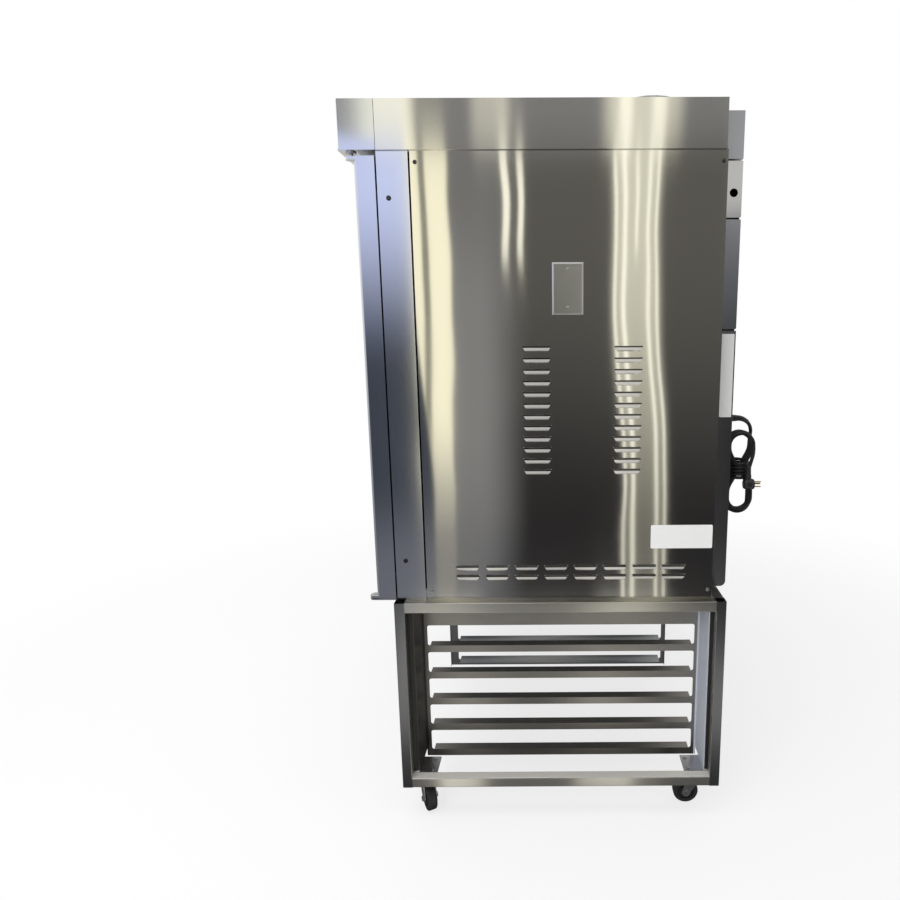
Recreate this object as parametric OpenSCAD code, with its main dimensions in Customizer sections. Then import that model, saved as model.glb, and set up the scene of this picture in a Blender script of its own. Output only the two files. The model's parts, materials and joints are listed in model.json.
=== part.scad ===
// Rotating rack oven on an open stand: a cabinet oven whose tray carrier turns
// on a vertical shaft, over a tube stand with tray slides and four casters.
// +X is the right-hand side, -Y the front, +Z up. The origin lies on the floor,
// under the centre of the outline.

/* [Body] */
// Width over the two side panels
body_w = 1184; // [1140:2:1300]
// Height of the side panels, from the stand to the hood
body_h = 1031; // [980:1:1120]
// Depth of a side panel
panel_d = 692; // [680:1:760]
// Depth of the front frame, from its face to the side panel
frame_d = 73; // [60:1:90]
// Thickness of the outer sheet
skin_t = 1.5; // [1:0.1:2]
// Width of the open seams between outer sheets
seam = 4; // [2:0.5:6]

/* [Hood] */
// Height of the hood band
hood_h = 103; // [90:1:130]
// How far the hood stands in front of the doors
hood_lead = 28; // [15:1:45]
// How far the hood stands out past each side panel
hood_proud = 4; // [2:0.5:8]
// Outside diameter of the vent collar
vent_d = 152; // [120:2:170]
// Height of the vent collar above the hood
vent_h = 30; // [15:1:60]

/* [Rear covers] */
// Depth of the rear covers
cover_d = 54; // [44:1:80]
// How far the rear covers stand in from each side
cover_inset = 74; // [60:1:84]
// Height of the upper rear cover
upper_cover_h = 124; // [100:1:160]
// Height of the middle rear cover
middle_cover_h = 250; // [200:1:300]
// Diameter of the open knockout in the upper rear cover
knockout_d = 19; // [14:1:24]

/* [Stand] */
// Height of the stand, without its casters
stand_h = 496; // [470:1:560]
// Depth of the stand
stand_d = 805; // [795:1:830]
// How far the stand stands out past each side panel
stand_proud = 18; // [8:1:24]
// How far the stand's front lies ahead of the front frame
stand_lead = 6; // [0:1:12]
// Size of the square stand tube
tube = 25.4; // [22:0.2:30]
// Wall of the stand tube
tube_t = 1.6; // [1.2:0.1:2.5]

/* [Tray slides] */
// Number of slide levels on each slide panel
slide_n = 5; // [3:1:5]
// Height from one slide to the next
slide_pitch = 76; // [70:1:80]
// Height of each slide's upright face
slide_face = 19; // [12:1:24]
// Width of each slide's ledge
ledge_w = 24; // [16:1:30]
// Distance from the stand's outer face in to the slide panel
slide_inset = 125; // [110:1:140]

/* [Casters] */
// Open height under the stand
under_h = 83; // [76:1:100]
// Diameter of a caster wheel
wheel_d = 65; // [60:1:70]
// Width of a caster wheel
wheel_w = 24; // [18:1:26]
// Sideways distance from a swivel's axis to its wheel's axle
trail = 26; // [20:1:30]
// Distance from the stand's ends to the swivel axes
caster_inset = 48; // [44:1:60]
// Angle that the right front caster has swung outwards
caster_turn = 62; // [0:1:80]

/* [Doors] */
// Thickness of both doors
door_t = 48; // [42:1:56]
// Gap between the doors and the front frame
door_gap = 4; // [3:0.5:6]
// Width of the control door
control_w = 231; // [225:1:240]
// Gap between the two doors
meet_gap = 8; // [7:0.5:12]
// Radius of the doors' front edges
door_round = 14; // [8:1:18]
// Width of the oven window
window_w = 560; // [400:5:600]
// Height of the oven window
window_h = 620; // [400:5:700]
// How far the handle reaches from the door
handle_reach = 62; // [55:1:75]
// Diameter of the handle bar
handle_d = 25; // [20:1:30]
// Length of the handle bar
handle_l = 420; // [300:5:600]
// Diameter of the hinge pins
pin_d = 10; // [8:1:12]

/* [Oven cavity] */
// Width of the service space between the heated walls and the right side panel
service_w = 205; // [195:1:215]
// Thickness of the walls under, over and left of the cavity
wall_t = 62; // [56:1:70]
// Distance from the left side panel to the cavity
wall_left = 80; // [74:1:86]
// Width of the heating space right of the cavity
plenum_w = 100; // [90:1:110]
// Thickness of the insulated wall right of the heating space
wall_right = 40; // [30:1:50]
// Thickness of the liner sheet
liner_t = 1.5; // [1:0.1:2]

/* [Carrier] */
// Width between the carrier's slides
tray_w = 408; // [380:1:410]
// Gap between the turning slides and the nearest wall of the cavity
turn_gap = 19; // [14:1:40]
// Number of tray levels
level_n = 8; // [4:1:10]
// Diameter of the carrier's shaft
shaft_d = 25; // [20:1:30]

/* [Fan] */
// Diameter of the fan wheel
fan_d = 300; // [220:2:320]
// Width of the fan wheel
fan_w = 56; // [40:1:60]
// Number of fan blades
blade_n = 16; // [8:1:24]

/* [Louvers] */
// Width of a louver in the upright columns
louver_w = 66; // [50:1:76]
// Width of a louver in the lower rows
vent_slot_w = 58; // [40:1:64]
// Height of every louver
louver_h = 12; // [9:0.5:14]
// How far a louver stands out
louver_out = 4.5; // [3:0.5:7]
// Height from one louver to the next in a column
louver_pitch = 26; // [22:1:30]
// Number of louvers in a column
louver_n = 12; // [4:1:12]

/* [Cord] */
// Diameter of the power cord
cord_d = 9; // [8:0.5:10]

/* [Hidden] */

$fn = 48;
play = 0.05; // radial clearance of a pin in its bore
free = 0.5; // clearance of plain parts that pass each other
inlet_reach = 16; // how far the gas inlet stands out of the rear covers

// Places along Y, from the handle's front to the gas inlet
front_reach = max(handle_reach, hood_lead);
overall_d = front_reach + door_t + door_gap + frame_d + panel_d + cover_d + inlet_reach;
y_door = -overall_d / 2 + front_reach;
y_door_back = y_door + door_t;
y_frame = y_door_back + door_gap;
y_panel = y_frame + frame_d;
y_back = y_panel + panel_d;
y_cover = y_back + cover_d;
y_hood = y_door - hood_lead;
y_hood_rear = y_back - seam;

// Places along Z
z_body = under_h + stand_h;
z_hood = z_body + body_h;
z_top = z_hood + hood_h;
z_door0 = z_body + 5;
z_door1 = z_hood - 10;
z_upper = z_hood - seam - upper_cover_h;
z_middle = z_upper - seam - middle_cover_h;

// Places along X
x_side = body_w / 2;
x_hood = x_side + hood_proud;
x_stand = x_side + stand_proud;
x_cover = x_side - cover_inset;
x_in = x_side - skin_t;
x_web = x_stand - slide_inset;

frame_t = 2; // front frame, base and roof sheet
pan_edge = 30; // turned-up edge of the base pan
frame_fold = 15; // folded edges of the outer sheets

// Cavity
wall_back = 9; // from the cavity to the rear edge of the side panels
wall_x1 = x_side - service_w - liner_t;
plen_x1 = wall_x1 - wall_right - liner_t;
cav_x0 = -x_side + wall_left;
cav_x1 = plen_x1 - plenum_w;
cav_y0 = y_frame + frame_t;
cav_y1 = y_back - wall_back;
cav_z0 = z_body + wall_t;
cav_z1 = z_hood - wall_t;
car_x = (cav_x0 + cav_x1) / 2;
car_y = (y_frame + cav_y1) / 2;

// Doors
door_x0 = -x_side + 1;
control_x1 = x_side - 1;
control_x0 = control_x1 - control_w;
door_x1 = control_x0 - meet_gap;
pivot_in = 15; // from a door's outer edge to its hinge axis
pivot_y = y_door - 6;
door_pivot_x = door_x0 + pivot_in;
control_pivot_x = control_x1 - pivot_in;
ear_t = 6;
window_x = (door_x0 + door_x1) / 2 - 40;
window_z = (z_door0 + z_door1) / 2 + 60;
glass_t = 5;
handle_x = door_x1 - 52;
handle_z = (z_door0 + z_door1) / 2;

// Control panel on the control door
panel_x = (control_x0 + control_x1) / 2;
bezel_w = 150;
bezel_h = 330;
bezel_t = 3;
bezel_z = z_door1 - 260;
key_d = 20;
key_step = 44;
key_z = bezel_z + 22;
stop_z = bezel_z - 112;
knob_z = bezel_z - 58;

// Fan and heating
fan_y = car_y + 10;
fan_z = cav_z1 - fan_d / 2 - 100;
fan_x0 = cav_x1 + 12;
fan_shaft_d = 18;
motor_d = 150;
motor_l = 110; // length of the motor's barrel
motor_flange = 180;
flange_t = 4;
motor_neck = 12; // between the flange and the barrel
motor_cap = 22; // cover of the motor's rear end
rib_n = 7;
hx_d = 42;
hx_x = cav_x1 + plenum_w / 2;
hx_step = 70;
hx_pair = 140;
hx_bend = 45; // bend of the elbows through the right-hand wall
hx_y0 = cav_y0 + 130;
hx_y1 = cav_y1 - 110;

// Gas, from the burners before the tube ends to the inlet behind the rear cover
gas_x = wall_x1 + liner_t + 6;
gas_y = hx_y1 + hx_bend;
gas_pipe_d = 21;
elbow_d = 32;
supply_y = gas_y + 46;
inlet_x = gas_x + 17;
inlet_z = z_body + 213;

// Drive under the hood
gear_dx = 210;
gear_y = car_y - 20;
gear_w = 90;
gear_l = 100;
gear_h = 32;
gear_motor_d = 64;
gear_motor_l = 120;
gear_shaft_d = 14;
chain_z = z_hood + 40;
bearing_w = 110;
bearing_l = 80;
bearing_t = 8;
bearing_h = 24;
bearing_d = 62;
collar_d = 44; // thrust collar, resting on the bearing
collar_h = 8;
big_teeth = 48;
small_teeth = 12;
chain_pitch = 9.525;

// Carrier
car_z0 = cav_z0 + 26;
car_z1 = cav_z1 - 26;
turn_r = min(cav_x1 - cav_x0, cav_y1 - y_frame) / 2 - turn_gap;
tray_l = 2 * sqrt(turn_r * turn_r - tray_w * tray_w / 4);
upright = 20;
hub_d = 60;
pivot_d = 16; // pin that the carrier stands on

// Casters
plate_in = 60;
swivel_x = x_stand - tube - plate_in / 2;
stand_y0 = y_frame - stand_lead;
stand_y1 = stand_y0 + stand_d;
swivel_y0 = stand_y0 + caster_inset;
swivel_y1 = stand_y1 - caster_inset;
corner_t = 4; // corner plate, top flush with the bottom rail
cplate_t = 3; // the caster's own top plate
race_t = 5; // swivel race on top of the fork
king_d = 12;
axle_d = 8;
fork_top = under_h + tube - corner_t - cplate_t - 1;

// Power cord: its gland, then points from the gland's mouth down into the hank
gland_x = x_side - 112;
gland_z = z_body + 431;
gland_l = 14; // how far the gland stands out of the rear cover
cord_points = [[0, 0, 0], [0, 8, 0], [-1, 17, -2], [-4, 26, -7], [-9, 34, -15],
    [-14, 40, -25], [-19, 44, -36], [-23, 46, -47], [-26, 47, -57]];
hank_w = 64;
hank_h = 212;
hank_t = 48;
hank_at = [-8, 21, -142];

function ring(p, q, r, n) =
    let (d = q - p, l = norm(d), w = d / l, u0 = cross([1, 0, 0], w), u = u0 / norm(u0), v = cross(w, u))
    [for (i = [0 : n - 1]) p + r * (cos(360 * i / n) * u + sin(360 * i / n) * v)];

module slab(x0, x1, y0, y1, z0, z1) {
    translate([x0, y0, z0]) cube([x1 - x0, y1 - y0, z1 - z0]);
}

// The same shape on both sides of the middle plane
module both_sides() {
    children();
    mirror([1, 0, 0]) children();
}

// The same shape above and below the plane Z = 0
module both_ends() {
    children();
    mirror([0, 0, 1]) children();
}

// An upright slot with round ends
module slot(w, h) {
    square([w, h - w], center = true);
    for (s = [-1, 1]) translate([0, s * (h - w) / 2]) circle(w / 2);
}

module round_rect(w, h, r) {
    square([w, h - 2 * r], center = true);
    square([w - 2 * r, h], center = true);
    for (x = [-1, 1], y = [-1, 1])
        translate([x * (w / 2 - r), y * (h / 2 - r)]) circle(r);
}

// An outline in X and Z, drawn at y and t thick towards +Y
module upright_plate(y, t) {
    translate([0, y + t, 0]) rotate([90, 0, 0]) linear_extrude(t) children();
}

// An outline in Y and Z, drawn at x and t thick towards +X
module side_plate(x, t) {
    translate([x, 0, 0]) rotate([90, 0, 90]) linear_extrude(t) children();
}

// ---- Louvers: a pressed scoop with a straight open top and tapered ends ----

module scoop(w, t) {
    intersection() {
        translate([0, w / 2 + 1, 0]) rotate([90, 0, 0]) linear_extrude(w + 2)
            polygon([[-1, -louver_h / 2 + t], [0, -louver_h / 2 + t],
                [louver_out - t, louver_h / 2 - 2.5], [louver_out - t, louver_h / 2 - (t > 0 ? -1 : 0)],
                [-1, louver_h / 2 - (t > 0 ? -1 : 0)]]);
        rotate([90, 0, 90]) translate([0, 0, -1]) linear_extrude(louver_out + 2)
            polygon([[-w / 2 + 7 + t, -louver_h / 2], [w / 2 - 7 - t, -louver_h / 2],
                [w / 2 - t, louver_h / 2 + (t > 0 ? 1 : 0)], [-w / 2 + t, louver_h / 2 + (t > 0 ? 1 : 0)]]);
    }
}

// Middles of the louvers: [y, z, width]
column_ys = [y_panel + 0.392 * panel_d, y_panel + 0.695 * panel_d];
louver_top = z_body + 0.587 * body_h;
slot_pitch = vent_slot_w + 13;
slot_n = 8;
slot_y0 = y_panel + 0.145 * panel_d;
slot_zs = [z_body + 82, z_body + 58];
louvers = concat(
    [for (y = column_ys, i = [0 : louver_n - 1]) [y, louver_top - i * louver_pitch, louver_w]],
    [for (z = slot_zs, i = [0 : slot_n - 1]) [slot_y0 + i * slot_pitch, z, vent_slot_w]]);

module side_panel() {
    difference() {
        union() {
            slab(x_side - skin_t, x_side, y_panel, y_back, z_body, z_hood);
            // front fold, clear of the base pan's edge and of the roof
            slab(x_side - frame_fold, x_side, y_panel, y_panel + skin_t,
                z_body + pan_edge + free, z_hood - frame_t);
            // wide rear fold that carries the rear covers
            slab(x_cover - frame_fold - 2, x_side, y_back - skin_t, y_back, z_body, z_hood);
            for (p = louvers) translate([x_side, p[0], p[1]]) scoop(p[2], 0);
        }
        for (p = louvers) translate([x_side, p[0], p[1]]) scoop(p[2], 1);
        for (p = louvers)
            slab(x_side - skin_t - 1, x_side + 0.01, p[0] - p[2] / 2 + 2, p[0] + p[2] / 2 - 2,
                p[1] + louver_h / 2 - 5, p[1] + louver_h / 2 - 1);
    }
}

module side_panel_right() {
    color("silver") side_panel();
}

module side_panel_left() {
    color("silver") mirror([1, 0, 0]) side_panel();
}

service_x0 = wall_x1 + 12;
service_x1 = x_side - 30;

module front_frame() {
    color("lightslategray") difference() {
        union() {
            slab(-x_side, x_side, y_frame, y_frame + frame_t, z_body, z_hood);
            both_sides() {
                slab(x_side - skin_t, x_side, y_frame, y_panel - seam, z_body, z_hood);
                slab(x_side - frame_fold, x_side, y_panel - seam - skin_t, y_panel - seam,
                    z_body + pan_edge + free, z_hood - frame_t);
            }
        }
        slab(cav_x0, cav_x1, y_frame - 1, y_frame + frame_t + 1, cav_z0, cav_z1);
        slab(service_x0, service_x1, y_frame - 1, y_frame + frame_t + 1, cav_z0, cav_z1);
    }
}

module base_pan() {
    color("gray") difference() {
        slab(-x_in, x_in, y_frame + frame_t, y_back - skin_t, z_body, z_body + pan_edge);
        slab(-x_in + frame_t, x_in - frame_t, y_frame + 2 * frame_t, y_back - skin_t - frame_t,
            z_body + frame_t, z_body + pan_edge + 1);
    }
}

module roof_deck() {
    color("gray") difference() {
        slab(-x_in, x_in, y_frame + frame_t, y_back - skin_t, z_hood - frame_t, z_hood);
        translate([car_x, car_y, z_hood - 10]) cylinder(d = shaft_d + 12, h = 20);
        slab(flue_x0 - 2, flue_x1 + 2, flue_y0 - 2, flue_y1 + 2, z_hood - 10, z_hood + 10);
    }
}

// ---- Hood ----

lip_h = 4;
lip_t = 1.5;
hood_bend = 5; // outer radius of the fascia's bends

// Plan of the fascia: open at the rear, its front corners bent round
module fascia_plan(grow) {
    r = hood_bend - grow;
    x1 = x_hood - grow;
    y0 = y_hood + grow;
    y1 = y_frame + (grow > 0 ? 1 : 0);
    translate([-x1 + r, y0]) square([2 * (x1 - r), y1 - y0]);
    translate([-x1, y0 + r]) square([2 * x1, y1 - y0 - r]);
    for (s = [-1, 1]) translate([s * (x1 - r), y0 + r]) circle(r);
}

module hood_fascia() {
    color("silver") difference() {
        union() {
            translate([0, 0, z_hood]) linear_extrude(hood_h) fascia_plan(0);
            translate([0, 0, z_hood]) linear_extrude(lip_h) fascia_plan(-lip_t);
        }
        translate([0, 0, z_hood + skin_t]) linear_extrude(hood_h) fascia_plan(skin_t);
    }
}

module hood_band() {
    slab(x_hood - skin_t, x_hood, y_frame + 1, y_hood_rear, z_hood, z_top);
    slab(x_hood, x_hood + lip_t, y_frame + 1, y_hood_rear, z_hood, z_hood + lip_h);
    slab(x_cover + 1, x_hood, y_hood_rear - skin_t, y_hood_rear, z_hood, z_top);
    // fold that rests on the body's roof
    slab(x_side - 20, x_hood, y_frame + 1, y_hood_rear, z_hood, z_hood + skin_t);
}

module hood_bands() {
    color("silver") both_sides() hood_band();
}

// Vent through the machine space
flue_x0 = wall_x1 + liner_t + 6;
flue_x1 = flue_x0 + 110;
flue_y0 = cav_y1 - 200;
flue_y1 = flue_y0 + 110;
vent_x = (flue_x0 + flue_x1) / 2;
vent_y = (flue_y0 + flue_y1) / 2;
neck_d = vent_d - 4; // the collar's neck, which passes the lid

module hood_lid() {
    color("silver") difference() {
        union() {
            translate([0, 0, z_top - skin_t]) linear_extrude(skin_t) fascia_plan(skin_t);
            slab(-x_hood + skin_t, x_hood - skin_t, y_frame, y_hood_rear - skin_t, z_top - skin_t, z_top);
            both_sides() slab(x_hood - skin_t - 12, x_hood - skin_t, y_frame + 1,
                y_hood_rear - skin_t, z_top - 14, z_top);
        }
        translate([vent_x, vent_y, z_top - 10]) cylinder(d = neck_d + 2 * free, h = 20);
    }
}

module vent_box() {
    color("silver") difference() {
        slab(-x_cover, x_cover, y_hood_rear - skin_t, y_cover, z_hood, z_top);
        slab(-x_cover + skin_t, x_cover - skin_t, y_hood_rear - skin_t - 1, y_cover - skin_t,
            z_hood + skin_t, z_top - skin_t);
        // exhaust slots in the rear face
        for (i = [-8 : 8])
            translate([i * 52, y_cover, (z_hood + z_top) / 2]) cube([36, 10, 6], center = true);
    }
}

// ---- Rear covers: shallow pans with side flanges on the body's rear folds ----

// Outline of a rear cover from the side, its lower rear edge rounded
module pan_outline(z0, z1, grow, r) {
    y0 = y_back - (grow > 0 ? 1 : 0);
    y1 = y_cover - grow;
    translate([y0, z0 + grow + r]) square([y1 - y0, z1 - z0 - 2 * grow - r]);
    translate([y0, z0 + grow]) square([y1 - y0 - r, r + 1]);
    translate([y1 - r, z0 + grow + r]) circle(r);
}

module rear_pan(z0, z1, r) {
    difference() {
        union() {
            side_plate(-x_cover, 2 * x_cover) pan_outline(z0, z1, 0, r);
            slab(-x_cover - frame_fold, x_cover + frame_fold, y_back, y_back + skin_t, z0, z1);
        }
        side_plate(-x_cover + skin_t, 2 * (x_cover - skin_t)) pan_outline(z0, z1, skin_t, r - skin_t);
    }
}

module rear_cover_upper() {
    color("lightgray") difference() {
        rear_pan(z_upper, z_hood - seam, 3);
        translate([x_cover - 10, y_back + 0.65 * cover_d, z_upper + 0.44 * upper_cover_h])
            rotate([0, 90, 0]) cylinder(d = knockout_d, h = 20);
    }
}

module rear_cover_middle() {
    color("slategray") rear_pan(z_middle, z_upper - seam, 3);
}

module rear_cover_lower() {
    color("dimgray") difference() {
        rear_pan(z_body + 3, z_middle - seam, 14);
        translate([inlet_x, y_cover - 10, inlet_z]) rotate([-90, 0, 0]) cylinder(d = 42, h = 20);
        translate([gland_x, y_cover - 10, gland_z]) rotate([-90, 0, 0]) cylinder(d = 22.2, h = 20);
    }
}

// ---- Stand ----

tube_round = 2.5;

// Square tube with rounded edges, drawn from its lower corner and rising l along Z
module tube_solid(l) {
    linear_extrude(l) translate([tube / 2, tube / 2]) round_rect(tube, tube, tube_round);
}

module post(y, x0) {
    translate([x0, y, under_h]) tube_solid(stand_h);
}

// Rail along Y with its lower corner at x0 and z
module rail_y(x0, z) {
    translate([x0, stand_y1 - tube_round, z]) rotate([90, 0, 0]) tube_solid(stand_d - 2 * tube_round);
}

module rail_x(x0, x1, y, z) {
    translate([x0, y, z]) rotate([90, 0, 90]) difference() {
        tube_solid(x1 - x0);
        translate([tube_t, tube_t, -1]) cube([tube - 2 * tube_t, tube - 2 * tube_t, x1 - x0 + 2]);
    }
}

module stand_side() {
    x0 = x_stand - tube;
    difference() {
        union() {
            for (y = [stand_y0, stand_y1 - tube]) post(y, x0);
            for (z = [under_h, z_body - tube]) rail_y(x0, z);
        }
        // bores of the tubes, open into each other and at the posts' ends
        for (y = [stand_y0, stand_y1 - tube])
            slab(x0 + tube_t, x_stand - tube_t, y + tube_t, y + tube - tube_t, under_h - 1, z_body + 1);
        for (z = [under_h, z_body - tube])
            slab(x0 + tube_t, x_stand - tube_t, stand_y0 + tube_t, stand_y1 - tube_t,
                z + tube_t, z + tube - tube_t);
    }
}

module stand_side_right() {
    color("darkgray") stand_side();
}

module stand_side_left() {
    color("darkgray") mirror([1, 0, 0]) stand_side();
}

module stand_cross_rails() {
    x1 = x_stand - tube;
    color("darkgray") {
        rail_x(-x1, x1, stand_y0, z_body - tube);
        rail_x(-x1, x1, stand_y1 - tube, z_body - tube);
    }
}

slide_y0 = stand_y0 + 38;
slide_y1 = stand_y1 - 33;
window_edge = 13;
slide_round = 6;
web_t = 1.5;

// Windows of a slide panel, between its bars
module slide_windows() {
    for (i = [0 : slide_n - 1]) {
        z0 = under_h + slide_face + i * slide_pitch;
        translate([(slide_y0 + slide_y1) / 2, z0 + (slide_pitch - slide_face) / 2])
            round_rect(slide_y1 - slide_y0 - 2 * window_edge, slide_pitch - slide_face, slide_round);
    }
}

module slide_ledges(x0, x1) {
    for (i = [0 : slide_n - 1]) {
        z1 = under_h + slide_face + i * slide_pitch;
        slab(x0, x1, slide_y0 + window_edge + slide_round, slide_y1 - window_edge - slide_round,
            z1 - web_t, z1);
    }
}

module slide_panel() {
    difference() {
        slab(x_web - web_t, x_web, slide_y0, slide_y1, under_h, z_body - web_t);
        side_plate(x_web - web_t - 1, web_t + 2) slide_windows();
    }
    // side folds out to the posts, and a fold under the oven's base
    for (y = [slide_y0, slide_y1 - web_t])
        slab(x_web - web_t, x_stand - tube, y, y + web_t, under_h + tube, z_body - web_t);
    slab(x_web - web_t, x_stand - tube - 1, slide_y0, slide_y1, z_body - web_t, z_body);
    slide_ledges(x_web - web_t - ledge_w, x_web);
}

module slide_panel_right() {
    color("gray") slide_panel();
}

module slide_panel_left() {
    color("gray") mirror([1, 0, 0]) slide_panel();
}

module centre_divider() {
    color("dimgray") {
        difference() {
            slab(-web_t, web_t, stand_y0 + tube, slide_y1, under_h, z_body - web_t);
            side_plate(-web_t - 1, 2 * web_t + 2) slide_windows();
        }
        slide_ledges(-web_t - ledge_w, web_t + ledge_w);
        // front and rear folds, and the top fold under the oven's base
        slab(-10, 10, stand_y0 + tube, stand_y0 + tube + web_t, under_h, z_body - web_t);
        slab(-10, 10, slide_y1 - web_t, slide_y1, under_h, z_body - web_t);
        slab(-14, 14, stand_y0 + tube, slide_y1, z_body - web_t, z_body);
    }
}

// ---- Casters ----

caster_ys = [swivel_y0, swivel_y1];

// Welded corner plate with the caster's own plate and kingpin under it
module caster_plates() {
    color("silver") both_sides() for (y = caster_ys) {
        top = under_h + tube;
        slab(swivel_x - plate_in / 2, swivel_x + plate_in / 2, y - 36, y + 36, top - corner_t, top);
        slab(swivel_x - 28, swivel_x + 28, y - 32, y + 32, top - corner_t - cplate_t, top - corner_t);
        translate([swivel_x, y, fork_top - race_t - 5]) cylinder(d = king_d, h = race_t + 8);
        translate([swivel_x, y, fork_top - race_t - 4.5]) cylinder(d = king_d + 8, h = 4);
        for (x = [-20, 20], v = [-24, 24])
            translate([swivel_x + x, y + v, top]) cylinder(d = 10, h = 3, $fn = 24);
    }
}

// A fork with its swivel on the Z axis and its wheel towards -Y
module fork() {
    leg_x = wheel_w / 2 + 2;
    axle_z = wheel_d / 2;
    difference() {
        union() {
            translate([0, 0, fork_top - race_t]) cylinder(d = 50, h = race_t);
            for (s = [-1, 1]) {
                side_plate(s > 0 ? leg_x : -leg_x - 2.5, 2.5) {
                    polygon([[-20, fork_top - 1], [20, fork_top - 1], [15, fork_top - 19],
                        [-trail + 11, axle_z], [-trail - 11, axle_z], [-24, fork_top - 19]]);
                    translate([-trail, axle_z]) circle(11);
                }
            }
        }
        translate([0, 0, fork_top - race_t - 1]) cylinder(r = king_d / 2 + play, h = race_t + 2);
    }
    // axle bolt with its head and nut
    translate([0, -trail, axle_z]) rotate([0, 90, 0]) {
        translate([0, 0, -leg_x - 1]) cylinder(d = axle_d, h = 2 * leg_x + 2);
        for (z = [-leg_x - 2.5 - 4, leg_x + 2.5]) translate([0, 0, z]) cylinder(d = 14, h = 4, $fn = 6);
    }
}

module wheel() {
    edge = 5;
    translate([0, -trail, wheel_d / 2]) rotate([0, 90, 0]) rotate_extrude($fn = 64) difference() {
        union() {
            translate([axle_d / 2 + play, -wheel_w / 2]) square([12, wheel_w]);
            translate([axle_d / 2 + play, -wheel_w / 2 + 4]) square([wheel_d / 2 - 12, wheel_w - 8]);
            translate([wheel_d / 2 - 12, -wheel_w / 2]) square([12 - edge, wheel_w]);
            translate([wheel_d / 2 - edge - 0.01, -wheel_w / 2 + edge]) square([edge + 0.01, wheel_w - 2 * edge]);
            for (z = [-1, 1]) translate([wheel_d / 2 - edge, z * (wheel_w / 2 - edge)]) circle(edge);
        }
    }
}

module at_caster(x, y, turn) {
    translate([x, y, 0]) rotate(turn) children();
}

module fork_front_right() {
    color("silver") at_caster(swivel_x, swivel_y0, 180 - caster_turn) fork();
}

module fork_front_left() {
    color("silver") at_caster(-swivel_x, swivel_y0, 180) fork();
}

module fork_rear_right() {
    color("silver") at_caster(swivel_x, swivel_y1, 0) fork();
}

module fork_rear_left() {
    color("silver") at_caster(-swivel_x, swivel_y1, 0) fork();
}

module wheel_front_right() {
    color("black") at_caster(swivel_x, swivel_y0, 180 - caster_turn) wheel();
}

module wheel_front_left() {
    color("black") at_caster(-swivel_x, swivel_y0, 180) wheel();
}

module wheel_rear_right() {
    color("black") at_caster(swivel_x, swivel_y1, 0) wheel();
}

module wheel_rear_left() {
    color("black") at_caster(-swivel_x, swivel_y1, 0) wheel();
}

// ---- Cavity and heating ----

module hx_ends(d, x0, x1) {
    for (i = [0 : 2], j = [0, 1])
        translate([x0, gas_y, hx_z(i, j)]) rotate([0, 90, 0]) cylinder(d = d, h = x1 - x0);
}

function hx_z(i, j) = cav_z0 + 60 + i * hx_pair + j * hx_step;

module cavity_liner() {
    color("lightgray") difference() {
        slab(cav_x0 - liner_t, plen_x1 + liner_t, cav_y0, cav_y1 + liner_t, cav_z0 - liner_t, cav_z1 + liner_t);
        slab(cav_x0, plen_x1, cav_y0 - 1, cav_y1, cav_z0, cav_z1);
        translate([car_x, car_y, cav_z1 - 1]) cylinder(d = shaft_d + 6, h = 10);
        translate([plen_x1 - 1, fan_y, fan_z]) rotate([0, 90, 0]) cylinder(d = fan_shaft_d + 6, h = 10);
        hx_ends(hx_d + 2 * free, plen_x1 - 1, plen_x1 + 10);
    }
}

// Wool round the liner, its rear part inside the rear covers
module insulation() {
    color("khaki") difference() {
        union() {
            slab(-x_side + frame_fold + 1, wall_x1, cav_y0, y_back - skin_t - frame_t - 1,
                z_body + pan_edge + 2, z_hood - 6);
            slab(-x_cover + 20, wall_x1, cav_y1, y_cover - 4, z_body + pan_edge + 2, cav_z1 + 45);
        }
        slab(cav_x0 - liner_t, plen_x1 + liner_t, cav_y0 - 1, cav_y1 + liner_t, cav_z0 - liner_t, cav_z1 + liner_t);
        for (z = [z_middle, z_upper]) slab(-x_side, x_side, y_back, y_cover, z - seam - 3, z + 3);
        translate([car_x, car_y, cav_z1 - 1]) cylinder(d = shaft_d + 10, h = 90);
        translate([plen_x1 - 1, fan_y, fan_z]) rotate([0, 90, 0]) cylinder(d = fan_shaft_d + 10, h = 90);
        hx_ends(hx_d + 4, plen_x1 - 1, wall_x1 + 10);
    }
}

module partition() {
    color("lightgray") difference() {
        slab(wall_x1, wall_x1 + liner_t, cav_y0, y_back - skin_t - frame_t - 1, z_body + pan_edge + 2, z_hood - 6);
        translate([wall_x1 - 1, fan_y, fan_z]) rotate([0, 90, 0]) cylinder(d = fan_shaft_d + 6, h = 10);
        hx_ends(hx_d + 2 * free, wall_x1 - 1, wall_x1 + 10);
    }
}

module air_baffle() {
    color("lightgray") difference() {
        slab(cav_x1, cav_x1 + liner_t, cav_y0, cav_y1, cav_z0, cav_z1);
        translate([cav_x1 - 1, fan_y, fan_z]) rotate([0, 90, 0]) cylinder(d = 0.62 * fan_d, h = 10);
        // air slots: upright rows ahead of and behind the fan
        for (y = [cav_y0 + 30, cav_y0 + 62, cav_y1 - 62, cav_y1 - 30], i = [0 : 9])
            side_plate(cav_x1 - 1, 10) translate([y, cav_z0 + 70 + i * 84]) slot(10, 60);
    }
}

module elbow(r, bend) {
    rotate_extrude(angle = 90) translate([bend, 0]) circle(r);
}

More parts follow.
